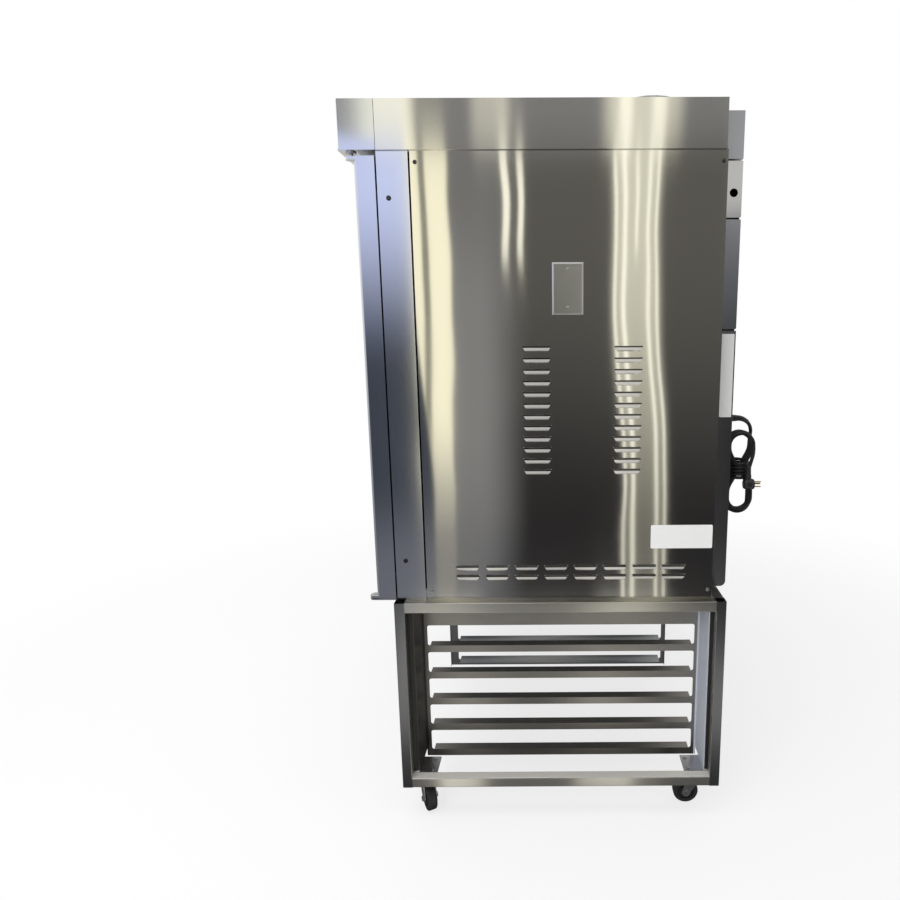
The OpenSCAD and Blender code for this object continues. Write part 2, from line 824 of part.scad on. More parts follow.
// Three U-shaped firing tubes with their elbows through the right-hand wall
module heat_exchanger() {
    color("peru") for (i = [0 : 2]) {
        for (j = [0, 1]) {
            z = hx_z(i, j);
            translate([hx_x, hx_y0, z]) rotate([-90, 0, 0]) cylinder(d = hx_d, h = hx_y1 - hx_y0);
            translate([hx_x + hx_bend, hx_y1, z]) rotate(90) elbow(hx_d / 2, hx_bend);
            translate([hx_x + hx_bend, gas_y, z]) rotate([0, 90, 0])
                cylinder(d = hx_d, h = gas_x - hx_x - hx_bend);
        }
        translate([hx_x, hx_y0, hx_z(i, 0.5)]) rotate([0, 90, 0]) rotate([0, 0, 180])
            rotate_extrude(angle = 180) translate([hx_step / 2, 0]) circle(d = hx_d);
    }
}

burner_l = 70; // from a burner's mouth to the manifold
manifold_x = gas_x + burner_l + 3;
manifold_d = 22;
valve_w = 50;
valve_h = 70;
inlet_hex = 40;
inlet_bore_r = 12.1;
inlet_bore_l = 24;

module burner_train() {
    valve_x = manifold_x - valve_w / 2 - 2;
    valve_z = hx_z(0, 0) - 100;
    supply_z = valve_z + valve_h / 2;
    color("goldenrod") {
        // in-shot burners, one before each lower tube end
        for (i = [0 : 2]) translate([gas_x + 1, gas_y, hx_z(i, 0)]) rotate([0, 90, 0]) {
            cylinder(d = hx_d - 6, h = 12);
            translate([0, 0, 12]) cylinder(d1 = hx_d - 6, d2 = manifold_d, h = 22);
            translate([0, 0, 34]) cylinder(d = manifold_d, h = burner_l - 33);
        }
        // manifold on its valve
        translate([manifold_x, gas_y, supply_z]) cylinder(d = manifold_d, h = 2 * hx_pair + 95);
        slab(valve_x, valve_x + valve_w, gas_y - 26, supply_y + 16, valve_z, valve_z + valve_h);
        // supply pipe: out of the valve's side, up, and back to the inlet, with an elbow at each turn
        translate([inlet_x, supply_y, supply_z]) rotate([0, 90, 0])
            cylinder(d = gas_pipe_d, h = valve_x + 4 - inlet_x);
        translate([inlet_x, supply_y, supply_z]) cylinder(d = gas_pipe_d, h = inlet_z - supply_z);
        for (z = [supply_z, inlet_z]) translate([inlet_x, supply_y, z]) sphere(d = elbow_d);
        translate([inlet_x, supply_y, inlet_z]) rotate([-90, 0, 0])
            cylinder(d = gas_pipe_d, h = y_cover - 8 - supply_y);
        difference() {
            translate([inlet_x, y_cover - 14, inlet_z]) rotate([-90, 0, 0])
                cylinder(d = inlet_hex, h = 14 + inlet_reach, $fn = 6);
            translate([inlet_x, y_cover + inlet_reach - inlet_bore_l, inlet_z]) rotate([-90, 0, 0])
                cylinder(r = inlet_bore_r, h = inlet_bore_l + 6);
        }
    }
}

stub_w = 56; // width and height of a flue stub

// Flue: a riser with a stub to each upper tube end, and the round vent collar,
// whose neck passes the lid and whose wider end stands on it
module flue_duct() {
    t = 1.5;
    z0 = hx_z(0, 1) - 40;
    riser_z1 = z_hood + 22;
    color("silver") difference() {
        union() {
            slab(flue_x0, flue_x1, flue_y0, flue_y1, z0, riser_z1);
            for (i = [0 : 2])
                slab(gas_x, gas_x + stub_w, flue_y1 - 1, gas_y + stub_w / 2,
                    hx_z(i, 1) - stub_w / 2, hx_z(i, 1) + stub_w / 2);
            translate([vent_x, vent_y, riser_z1 - 2]) cylinder(d = neck_d, h = z_top - riser_z1 + 3);
            translate([vent_x, vent_y, z_top]) cylinder(d = vent_d, h = vent_h);
        }
        slab(flue_x0 + t, flue_x1 - t, flue_y0 + t, flue_y1 - t, z0 + t, riser_z1 + 1);
        for (i = [0 : 2]) {
            slab(gas_x + t, gas_x + stub_w - t, flue_y1 - 3, gas_y + stub_w / 2 - t,
                hx_z(i, 1) - stub_w / 2 + t, hx_z(i, 1) + stub_w / 2 - t);
            translate([gas_x - 1, gas_y, hx_z(i, 1)]) rotate([0, 90, 0]) cylinder(d = hx_d, h = 10);
        }
        translate([vent_x, vent_y, riser_z1]) cylinder(d = neck_d - 2 * t, h = z_top + vent_h);
    }
}

shaft_in = 50; // how far the fan's bore runs into its motor

module fan_wheel() {
    back = fan_x0 + fan_w;
    color("silver") {
        translate([back - 2, fan_y, fan_z]) rotate([0, 90, 0]) cylinder(d = fan_d, h = 2);
        translate([fan_x0, fan_y, fan_z]) rotate([0, 90, 0]) difference() {
            cylinder(d = fan_d, h = 2);
            translate([0, 0, -1]) cylinder(d = 0.66 * fan_d, h = 4);
        }
        // blades leaning back against the turn
        translate([fan_x0 + 1, fan_y, fan_z]) rotate([0, 90, 0]) for (i = [0 : blade_n - 1])
            rotate(360 * i / blade_n) translate([0.33 * fan_d, -1, 0]) rotate(35)
                cube([0.17 * fan_d, 2, fan_w - 2]);
        translate([fan_x0 + 16, fan_y, fan_z]) rotate([0, 90, 0]) cylinder(d = 46, h = fan_w - 17);
        translate([fan_x0 + 30, fan_y, fan_z]) rotate([0, 90, 0])
            cylinder(d = fan_shaft_d, h = wall_x1 + liner_t + shaft_in - 6 - fan_x0 - 30);
    }
}

module fan_motor() {
    barrel = flange_t + motor_neck;
    color("dimgray") translate([wall_x1 + liner_t, fan_y, fan_z]) rotate([0, 90, 0]) difference() {
        union() {
            cylinder(d = motor_flange, h = flange_t);
            cylinder(d = motor_d - 16, h = barrel + 1);
            translate([0, 0, barrel]) cylinder(d = motor_d, h = motor_l);
            for (i = [0 : rib_n - 1]) translate([0, 0, barrel + 8 + i * (motor_l - 12) / rib_n])
                cylinder(d = motor_d + 8, h = 4);
            translate([0, 0, barrel + motor_l]) cylinder(d = motor_d - 24, h = motor_cap);
        }
        translate([0, 0, -1]) cylinder(r = fan_shaft_d / 2 + play, h = shaft_in);
    }
}

// ---- Carrier and its drive ----

module carrier() {
    half_w = tray_w / 2;
    half_l = tray_l / 2;
    step = (car_z1 - car_z0 - 90) / level_n;
    color("silver") translate([car_x, car_y, 0]) {
        difference() {
            union() {
                // top and bottom cross bars, with their hubs
                for (z = [car_z0, car_z1 - 12]) {
                    slab(-half_w - upright, half_w + upright, -30, 30, z, z + 12);
                    for (s = [-1, 1]) slab(s > 0 ? half_w : -half_w - upright, s > 0 ? half_w + upright : -half_w,
                        -half_l * 0.72, half_l * 0.72, z, z + 12);
                }
                translate([0, 0, car_z0]) cylinder(d = hub_d, h = 24);
                translate([0, 0, car_z1 - 30]) cylinder(d = hub_d, h = 30);
                for (x = [-half_w - upright, half_w], y = [-half_l * 0.72, half_l * 0.72 - upright])
                    slab(x, x + upright, y, y + upright, car_z0, car_z1);
                // tray slides: an upright face and a ledge on each side
                for (i = [0 : level_n - 1]) {
                    z = car_z0 + 50 + i * step;
                    both_sides() {
                        slab(half_w - 1.5, half_w, -half_l, half_l, z, z + 22);
                        slab(half_w - 20, half_w, -half_l, half_l, z, z + 1.5);
                    }
                }
            }
            translate([0, 0, car_z0 - 1]) cylinder(r = pivot_d / 2 + play, h = 21);
            translate([0, 0, car_z1 - 20]) cylinder(d = shaft_d, h = 30);
        }
    }
}

function sprocket_r(n) = chain_pitch / 2 / sin(180 / n);

// Toothed outline: a tooth is a flat crest between two slanted flanks
module sprocket_outline(n) {
    r = sprocket_r(n);
    polygon([for (i = [0 : n - 1], k = [0 : 3])
        let (a = 360 / n * (i + [0, 0.35, 0.5, 0.85][k] - 0.425), q = k == 0 || k == 3 ? r - 2.6 : r + 2)
        [q * cos(a), q * sin(a)]]);
}

module carrier_shaft() {
    color("gray") translate([car_x, car_y, 0]) {
        translate([0, 0, car_z1 - 20]) cylinder(d = shaft_d, h = chain_z + 16 - car_z1 + 20);
        translate([0, 0, z_hood + bearing_h + 0.3]) cylinder(d = collar_d, h = collar_h);
        translate([0, 0, chain_z - 2.5]) linear_extrude(5) sprocket_outline(big_teeth);
        translate([0, 0, chain_z + 2]) cylinder(d = 56, h = 14);
    }
}

// Flanged bearing on the roof, and the pivot pin on the cavity's floor
module carrier_bearings() {
    color("darkslategray") translate([car_x, car_y, z_hood]) difference() {
        union() {
            linear_extrude(bearing_t) round_rect(bearing_w, bearing_l, 12);
            cylinder(d = bearing_d, h = bearing_h);
        }
        translate([0, 0, -1]) cylinder(r = shaft_d / 2 + play, h = 40);
        for (s = [-1, 1]) translate([s * (bearing_w / 2 - 13), 0, -1]) cylinder(d = 9, h = 20);
    }
    color("silver") translate([car_x, car_y, cav_z0]) {
        cylinder(d = 90, h = 6);
        cylinder(d = 44, h = 22);
        cylinder(d = pivot_d, h = 42);
    }
}

// Flat gear case, with its ribbed motor lying behind it
module gearmotor() {
    color("steelblue") translate([car_x - gear_dx, car_y, z_hood]) difference() {
        union() {
            translate([-gear_w / 2, -gear_l / 2, 0]) cube([gear_w, gear_l, gear_h]);
            translate([0, gear_l / 2, gear_h + 2]) rotate([-90, 0, 0])
                cylinder(d = gear_motor_d, h = gear_motor_l);
            for (i = [0 : 4]) translate([0, gear_l / 2 + 18 + i * gear_motor_d * 0.28, gear_h + 2])
                rotate([-90, 0, 0]) cylinder(d = gear_motor_d + 3, h = 5);
        }
        translate([0, gear_y - car_y, 5]) cylinder(r = gear_shaft_d / 2 + play, h = gear_h + 8);
    }
}

module motor_sprocket() {
    color("gray") translate([car_x - gear_dx, gear_y, 0]) {
        translate([0, 0, z_hood + 10]) cylinder(d = gear_shaft_d, h = chain_z - z_hood);
        translate([0, 0, chain_z - 2.5]) linear_extrude(5) sprocket_outline(small_teeth);
        translate([0, 0, chain_z + 2]) cylinder(d = 24, h = 8);
    }
}

// Chain: a loop round both sprockets, its straight runs tangent to them
module chain_loop(grow) {
    r1 = sprocket_r(big_teeth) + grow;
    r2 = sprocket_r(small_teeth) + grow;
    d = norm([gear_dx, car_y - gear_y]);
    a = acos((r1 - r2) / d);
    circle(r1, $fn = 96);
    translate([d, 0]) circle(r2);
    polygon([r1 * [cos(a), sin(a)], r1 * [cos(a), -sin(a)],
        [d, 0] + r2 * [cos(a), -sin(a)], [d, 0] + r2 * [cos(a), sin(a)]]);
}

module drive_chain() {
    color("dimgray") translate([car_x, car_y, chain_z - 4])
        rotate(180 + atan2(car_y - gear_y, gear_dx)) linear_extrude(8) difference() {
            chain_loop(5.2);
            chain_loop(2.5);
        }
}

// ---- Doors ----

// A door pan in plan: rounded front corners, open at the back
module door_plan(x0, x1, grow) {
    r = door_round - grow;
    y0 = y_door + grow;
    translate([x0 + grow + r, y0]) square([x1 - x0 - 2 * (grow + r), door_t - grow]);
    translate([x0 + grow, y0 + r]) square([x1 - x0 - 2 * grow, door_t - grow - r]);
    for (x = [x0 + grow + r, x1 - grow - r]) translate([x, y0 + r]) circle(r);
}

// The pan from the side, with its lower front edge rounded
module door_side(grow) {
    r = door_round - grow;
    y0 = y_door + grow;
    translate([y0, z_door0 + grow + r]) square([door_t + 5, z_door1 - z_door0 - 2 * grow - r]);
    translate([y0 + r, z_door0 + grow]) square([door_t + 5 - r, r + 1]);
    translate([y0 + r, z_door0 + grow + r]) circle(r);
}

module door_body(x0, x1, grow) {
    intersection() {
        translate([0, 0, z_door0]) linear_extrude(z_door1 - z_door0) union() {
            door_plan(x0, x1, grow);
            if (grow > 0) translate([x0 + grow, y_door_back - 5]) square([x1 - x0 - 2 * grow, 10]);
        }
        side_plate(x0 - 1, x1 - x0 + 2) door_side(grow);
    }
}

// A door pan with a bored hinge ear at its top and at its bottom
module door_pan(x0, x1, pivot_x) {
    difference() {
        union() {
            difference() {
                door_body(x0, x1, 0);
                door_body(x0, x1, skin_t);
            }
            for (z = [z_door0, z_door1 - ear_t]) {
                slab(pivot_x - 12, pivot_x + 12, pivot_y, y_door + 22, z, z + ear_t);
                translate([pivot_x, pivot_y, z]) cylinder(r = 12, h = ear_t);
            }
        }
        translate([pivot_x, pivot_y, z_door0 - 1]) cylinder(r = pin_d / 2 + play, h = ear_t + 2);
        translate([pivot_x, pivot_y, z_door1 - ear_t - 1]) cylinder(r = pin_d / 2 + play, h = ear_t + 2);
    }
}

module window_outline(grow) {
    translate([window_x, window_z]) round_rect(window_w + 2 * grow, window_h + 2 * grow, 20 + grow);
}

module door_skin() {
    color("silver") difference() {
        door_pan(door_x0, door_x1, door_pivot_x);
        upright_plate(y_door - 1, 10) window_outline(0);
    }
}

tunnel_t = 2;

module door_liner() {
    color("lightgray") {
        difference() {
            slab(door_x0 + skin_t, door_x1 - skin_t, y_door_back - liner_t, y_door_back,
                z_door0 + skin_t, z_door1 - skin_t);
            upright_plate(y_door_back - 10, 20) window_outline(0);
        }
        upright_plate(y_door + skin_t, door_t - skin_t) difference() {
            window_outline(tunnel_t);
            window_outline(0);
        }
    }
}

module door_glass() {
    color("lightblue", 0.4) for (y = [y_door + skin_t + 1, y_door_back - liner_t - glass_t - 4])
        upright_plate(y, glass_t) window_outline(0);
}

gasket_w = 14;

module door_gasket() {
    x0 = cav_x0 - 6;
    x1 = cav_x1 + 6;
    z0 = cav_z0 - 6;
    z1 = cav_z1 + 6;
    color("black") upright_plate(y_door_back, door_gap - free)
        translate([(x0 + x1) / 2, (z0 + z1) / 2]) difference() {
            round_rect(x1 - x0 + 2 * gasket_w, z1 - z0 + 2 * gasket_w, 30);
            round_rect(x1 - x0, z1 - z0, 16);
        }
}

handle_foot = 40; // from each end of the bar to its foot

// Bar with rounded ends on two feet with round rosettes
module door_handle() {
    y = y_door - handle_reach + handle_d / 2;
    dome = handle_d / 4;
    color("silver") {
        translate([handle_x, y, handle_z]) both_ends() {
            cylinder(d = handle_d, h = handle_l / 2 - dome);
            translate([0, 0, handle_l / 2 - dome]) rotate_extrude() {
                square([handle_d / 2 - dome, dome]);
                intersection() {
                    translate([handle_d / 2 - dome, 0]) circle(dome);
                    square([handle_d / 2, dome]);
                }
            }
        }
        for (z = [-1, 1]) translate([handle_x, y, handle_z + z * (handle_l / 2 - handle_foot)]) {
            rotate([-90, 0, 0]) cylinder(d = 18, h = handle_reach - handle_d / 2);
            translate([0, handle_reach - handle_d / 2 - 4, 0]) rotate([-90, 0, 0])
                rotate_extrude() polygon([[0, 0], [13, 0], [17, 2], [17, 4], [0, 4]]);
        }
    }
}

// Pins on which both doors turn: the upper ones hang from the hood, the lower
// ones stand on plates that reach forward from the front frame
module door_pivots() {
    color("dimgray") for (x = [door_pivot_x, control_pivot_x]) {
        translate([x, pivot_y, z_hood - 3]) cylinder(d = 24, h = 3);
        translate([x, pivot_y, z_door1 - ear_t]) cylinder(d = pin_d, h = z_hood - z_door1 + ear_t);
        slab(x - 12, x + 12, pivot_y, y_frame, z_body + 0.5, z_body + 3.5);
        translate([x, pivot_y, z_body + 0.5]) cylinder(r = 12, h = 3);
        translate([x, pivot_y, z_body + 0.5]) cylinder(d = pin_d, h = z_door0 + ear_t - z_body);
    }
}

key_xs = [panel_x - key_step / 2, panel_x + key_step / 2];
key_out = 5;
stop_d = 40;
knob_d = 34;

module panel_holes() {
    for (x = key_xs) translate([x, key_z]) circle(d = key_d + 2 * free);
    translate([panel_x, stop_z]) circle(d = 16 + 2 * free);
    translate([panel_x, knob_z]) circle(d = 8 + 2 * play);
}

module control_door() {
    color("silver") difference() {
        door_pan(control_x0, control_x1, control_pivot_x);
        upright_plate(y_door - 1, 10) panel_holes();
    }
}

// Faceplate with the display's window frame
module control_bezel() {
    color("black") difference() {
        union() {
            upright_plate(y_door - bezel_t, bezel_t) translate([panel_x, bezel_z]) round_rect(bezel_w, bezel_h, 8);
            upright_plate(y_door - bezel_t - 2, 3) translate([panel_x, bezel_z + 104]) round_rect(126, 84, 5);
        }
        upright_plate(y_door - bezel_t - 3, 3) translate([panel_x, bezel_z + 104]) round_rect(108, 66, 3);
        upright_plate(y_door - 20, 40) panel_holes();
    }
}

// A round key with a flange behind the door's skin
module key_cap(x) {
    back = key_out + bezel_t + skin_t + 0.4;
    color("gray") translate([x, y_door - bezel_t - key_out, key_z]) rotate([-90, 0, 0]) {
        cylinder(d = key_d, h = back + 3);
        translate([0, 0, back]) cylinder(d = key_d + 6, h = 3);
    }
}

module key_left() {
    key_cap(key_xs[0]);
}

module key_right() {
    key_cap(key_xs[1]);
}

module stop_button() {
    y = y_door - bezel_t - 24;
    color("red") translate([panel_x, y, stop_z]) rotate([-90, 0, 0]) {
        rotate_extrude() polygon([[0, 0], [12, 0.8], [17, 2.6], [stop_d / 2, 6], [stop_d / 2, 12], [14, 14], [0, 14]]);
        translate([0, 0, 13]) cylinder(d = 16, h = 11 + bezel_t + skin_t + 6);
        translate([0, 0, 24 + bezel_t + skin_t + 0.4]) cylinder(d = 24, h = 6);
    }
}

module power_knob() {
    y = y_door - bezel_t - 18;
    color("black") translate([panel_x, y, knob_z]) rotate([-90, 0, 0]) {
        cylinder(d1 = knob_d - 4, d2 = knob_d, h = 16);
        translate([-3, -knob_d / 2 + 2, -3]) cube([6, knob_d - 4, 5]);
        translate([0, 0, 15]) cylinder(d = 8, h = 24);
    }
}

// ---- Fittings on the outside ----

plate_y = y_panel + 0.495 * panel_d;
plate_z = z_body + 0.716 * body_h;
plate_w = 70;
plate_h = 114.3;
plate_t = 5.5;
plate_bevel = 3.5;
plate_screws = 83.3;

module wall_plate() {
    color("silver") translate([x_side, plate_y, plate_z]) hull() {
        rotate([90, 0, 90]) linear_extrude(plate_t - plate_bevel + 0.5)
            square([plate_w, plate_h], center = true);
        rotate([90, 0, 90]) linear_extrude(plate_t)
            square([plate_w - 2 * plate_bevel, plate_h - 2 * plate_bevel], center = true);
    }
}

// A low round screw head with a cross recess
module screw_head(d) {
    difference() {
        rotate_extrude($fn = 24) polygon([[0, 0], [d / 2, 0], [d / 2, 0.8], [0.36 * d, 2.2], [0, 2.8]]);
        for (a = [45, 135]) translate([0, 0, 2.6]) rotate(a) cube([0.55 * d, 1, 1.6], center = true);
    }
}

module screws() {
    color("silver") {
        both_sides() {
            for (y = [y_panel + 11, y_back - 10], z = [z_body + 25, z_hood - 24])
                translate([x_side, y, z]) rotate([0, 90, 0]) screw_head(9);
            for (z = [z_body + 102, z_hood - 98])
                translate([x_side, y_frame + 24, z]) rotate([0, 90, 0]) screw_head(11);
            for (z = [z_body + 90, z_middle - 60, z_middle + 60, z_upper - 60, z_upper + 30, z_hood - 34])
                translate([x_cover + frame_fold / 2, y_back + skin_t, z]) rotate([-90, 0, 0]) screw_head(8);
        }
        for (s = [-1, 1]) translate([x_side + plate_t, plate_y, plate_z + s * plate_screws / 2])
            rotate([0, 90, 0]) screw_head(8);
    }
}

module cord_gland() {
    nut_h = 6;
    color("black") translate([gland_x, y_cover, gland_z]) rotate([-90, 0, 0]) {
        translate([0, 0, -8]) cylinder(d = 22, h = 8);
        cylinder(d = 28, h = nut_h, $fn = 6);
        translate([0, 0, nut_h]) cylinder(d1 = 22, d2 = 14, h = gland_l - nut_h);
    }
}

function swept(points, r, n) =
    [for (i = [0 : len(points) - 1])
        each ring(points[i], i < len(points) - 1 ? points[i + 1] : 2 * points[i] - points[i - 1], r, n)];

// Everything on the cord keeps its place from the gland's mouth
module at_gland() {
    translate([gland_x, y_cover + gland_l, gland_z]) children();
}

// The cord's free stretch, from the gland into the hank
module power_cord() {
    n = 10;
    count = len(cord_points);
    color("black") at_gland()
        polyhedron(swept(cord_points, cord_d / 2, n), concat(
            [[for (i = [n - 1 : -1 : 0]) i]],
            [for (k = [0 : count - 2], i = [0 : n - 1])
                [k * n + i, k * n + (i + 1) % n, (k + 1) * n + (i + 1) % n, (k + 1) * n + i]],
            [[for (i = [0 : n - 1]) (count - 1) * n + i]]));
}

// The plain block that the folded cord fills
module cord_hank() {
    color("black") at_gland() translate([hank_at[0] - hank_t / 2, 0, 0])
        side_plate(0, hank_t) translate([hank_at[1], hank_at[2]]) slot(hank_w, hank_h);
}

// The angle plug lies on the hank's near side, its blades towards +Y
module cord_plug() {
    color("black") at_gland() translate([hank_at[0] + hank_t / 2, hank_at[1] + 9.5, hank_at[2] - 48]) {
        translate([13.5, -13, 0]) rotate([-90, 0, 0]) cylinder(d = 27, h = 26);
        translate([13.5, 0, 0]) cylinder(d1 = 16, d2 = 12, h = 42);
        for (z = [-6.35, 6.35]) translate([11, 12, z - 0.8]) cube([6.4, 18, 1.6]);
        translate([5, 12, 0]) rotate([-90, 0, 0]) cylinder(d = 4.8, h = 20, $fn = 24);
    }
}

side_panel_right();
side_panel_left();
front_frame();
base_pan();
roof_deck();
hood_fascia();
hood_bands();
hood_lid();
vent_box();
rear_cover_upper();
rear_cover_middle();
rear_cover_lower();
stand_side_right();
stand_side_left();
stand_cross_rails();
slide_panel_right();
slide_panel_left();
centre_divider();
caster_plates();
fork_front_right();
fork_front_left();
fork_rear_right();
fork_rear_left();
wheel_front_right();
wheel_front_left();
wheel_rear_right();
wheel_rear_left();
cavity_liner();
insulation();
partition();
air_baffle();
heat_exchanger();
burner_train();
flue_duct();
fan_wheel();
fan_motor();
carrier();
carrier_shaft();
carrier_bearings();
gearmotor();
motor_sprocket();
drive_chain();
door_skin();
door_liner();
door_glass();
door_gasket();
door_handle();
door_pivots();
control_door();
control_bezel();
key_left();
key_right();
stop_button();
power_knob();
wall_plate();
screws();
cord_gland();
power_cord();
cord_hank();
cord_plug();
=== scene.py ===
import json
import math

import bmesh
import bpy
from mathutils import Matrix, Vector


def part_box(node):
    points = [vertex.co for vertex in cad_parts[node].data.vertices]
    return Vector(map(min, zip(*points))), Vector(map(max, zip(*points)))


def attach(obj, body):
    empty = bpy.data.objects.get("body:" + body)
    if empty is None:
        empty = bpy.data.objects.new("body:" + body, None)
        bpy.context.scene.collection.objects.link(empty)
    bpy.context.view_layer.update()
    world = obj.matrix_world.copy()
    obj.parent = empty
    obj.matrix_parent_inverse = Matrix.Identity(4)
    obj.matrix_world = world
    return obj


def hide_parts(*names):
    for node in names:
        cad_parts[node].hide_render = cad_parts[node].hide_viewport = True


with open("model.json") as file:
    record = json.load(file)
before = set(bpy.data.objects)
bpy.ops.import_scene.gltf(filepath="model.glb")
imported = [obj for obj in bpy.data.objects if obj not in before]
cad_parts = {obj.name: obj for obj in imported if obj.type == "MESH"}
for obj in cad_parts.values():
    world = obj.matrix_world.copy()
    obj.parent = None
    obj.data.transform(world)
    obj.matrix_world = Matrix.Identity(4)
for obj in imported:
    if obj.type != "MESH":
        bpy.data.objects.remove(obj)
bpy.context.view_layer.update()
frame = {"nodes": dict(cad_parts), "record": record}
nodes = frame["nodes"]
scene = bpy.context.scene
scene.view_settings.view_transform = "Standard"

# Places of the oven, read from its own solids
plate_lo, plate_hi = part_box("wall_plate")
side_x = plate_lo.x  # the side sheet's face
panel_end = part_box("side_panel_right")[1].y
cover_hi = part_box("rear_cover_lower")[1]
cover_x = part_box("vent_box")[1].x
gland_lo, gland_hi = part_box("cord_gland")
bezel_lo, bezel_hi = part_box("control_bezel")
stand_lo, stand_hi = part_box("stand_side_right")
slide_lo, slide_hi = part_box("slide_panel_right")
tube_w = stand_hi.x - stand_lo.x
post_front, post_rear = stand_lo.y + tube_w, stand_hi.y - tube_w  # the posts' inner faces

# The lower part of the side sheet leans a little: fully below LEAN_FROM, not at all above
# LEAN_FROM + LEAN_OVER
LEAN_FROM, LEAN_OVER = 0.80, 0.55


# -------- camera

EYE = Vector((2.0139, 0.0219, 1.1980))
PITCH, YAW, ROLL = (math.radians(a) for a in (9.604, 0.121, -0.281))
FOCAL = 24.66  # mm on a 36 mm sensor
SHIFT = (-0.1167, -0.0032)


def camera_axes():
    """Directions to the picture's right, to its top and into it."""
    ahead = Vector((-math.cos(YAW) * math.cos(PITCH), math.sin(YAW) * math.cos(PITCH), -math.sin(PITCH)))
    level = Vector((math.sin(YAW), math.cos(YAW), 0))
    up = level.cross(ahead)
    right = math.cos(ROLL) * level + math.sin(ROLL) * up
    up = math.cos(ROLL) * up - math.sin(ROLL) * level
    return right, up, ahead


def add_camera():
    right, up, ahead = camera_axes()
    data = bpy.data.cameras.new("viewer")
    data.lens = FOCAL
    data.sensor_width = 36
    data.shift_x, data.shift_y = SHIFT
    data.clip_start, data.clip_end = 0.02, 60
    viewer = bpy.data.objects.new("viewer", data)
    scene.collection.objects.link(viewer)
    turn = Matrix((right, up, -ahead)).transposed()
    viewer.matrix_world = Matrix.Translation(EYE) @ turn.to_4x4()
    scene.camera = viewer


add_camera()


# -------- shader sums


class Term:
    """A socket of a finish that can be used in sums."""

    def __init__(self, finish, socket):
        self.finish = finish
        self.socket = socket

    def sum(self, operation, *others):
        return self.finish.node("ShaderNodeMath", {"operation": operation}, [self, *others])

    def __add__(self, other):
        return self.sum("ADD", other)

    def __sub__(self, other):
        return self.sum("SUBTRACT", other)

    def __mul__(self, other):
        return self.sum("MULTIPLY", other)

    def __truediv__(self, other):
        return self.sum("DIVIDE", other)

    def __rsub__(self, other):
        return self.finish.node("ShaderNodeMath", {"operation": "SUBTRACT"}, [other, self])

    def rise(self, start, width):
        """0 below start, 1 above start + width, smooth between."""
        return self.finish.node(
            "MapRange", {"interpolation_type": "SMOOTHSTEP"}, [self, start, start + width, 0.0, 1.0]
        )

    def band(self, low, high, soft):
        """1 between low and high, fading out over soft on either side."""
        return self.rise(low - soft, soft) * (1 - self.rise(high, soft))


class Wiring:
    """A tree of nodes. node() adds one and returns one of its outputs as a Term."""

    prefix = "ShaderNode"
    tree = None

    def make(self, kind, settings=None, values=()):
        if not kind.startswith(("ShaderNode", "FunctionNode")):
            kind = self.prefix + kind
        made = self.tree.nodes.new(kind)
        for key, value in (settings or {}).items():
            setattr(made, key, value)
        pairs = values.items() if isinstance(values, dict) else enumerate(values)
        for key, value in pairs:
            if isinstance(value, Term):
                self.tree.links.new(value.socket, made.inputs[key])
            elif value is not None:
                made.inputs[key].default_value = value
        return made

    def node(self, kind, settings=None, values=(), out=0):
        return Term(self, self.make(kind, settings, values).outputs[out])


class Finish(Wiring):
    """A material built from nodes."""

    def __init__(self, name):
        self.material = bpy.data.materials.new(name)
        self.material.use_nodes = True
        self.tree = self.material.node_tree
        self.tree.nodes.clear()

    def where(self):
        """Object coordinates as one vector."""
        return self.node("TexCoord", out="Object")

    def place(self):
        """Object coordinates as three terms, x, y and z."""
        where = self.where()
        return [self.node("SeparateXYZ", None, [where], out=i) for i in range(3)]

    def noise(self, where, scale, detail=2.0, rough=0.5):
        return self.node(
            "TexNoise", {"noise_dimensions": "3D"},
            {"Vector": where, "Scale": scale, "Detail": detail, "Roughness": rough},
        )

    def grain(self, scale, detail, rough=0.6):
        """Noise over object coordinates, scaled apart along x, y and z."""
        stretched = self.node("Mapping", None, {"Vector": self.where(), "Scale": scale})
        return self.noise(stretched, 1.0, detail, rough)

    def mix(self, factor, low, high):
        """Colour low at factor 0, colour high at factor 1."""
        low, high = ((*c, 1) if isinstance(c, tuple) else c for c in (low, high))
        return self.node("Mix", {"data_type": "RGBA"}, {0: factor, 6: low, 7: high}, 2)

    def bump(self, height):
        """A normal bent by a height in metres."""
        return self.node("Bump", None, {"Height": height, "Distance": 1.0, "Strength": 1.0})

    def surface(self, **values):
        names = {k.replace("_", " "): v for k, v in values.items()}
        for key in ("Base Color", "Emission Color"):
            if isinstance(names.get(key), tuple):
                names[key] = (*names[key], 1)
        return self.close(self.node("BsdfPrincipled", None, names))

    def close(self, shader):
        self.make("OutputMaterial", None, {"Surface": shader})
        return self.material


def keep(piece, modifier):
    """Gives the piece the mesh that its modifier makes, and takes the modifier off."""
    done = piece.evaluated_get(bpy.context.evaluated_depsgraph_get())
    mesh = bpy.data.meshes.new_from_object(done)
    piece.modifiers.remove(modifier)
    piece.data = mesh
    return piece


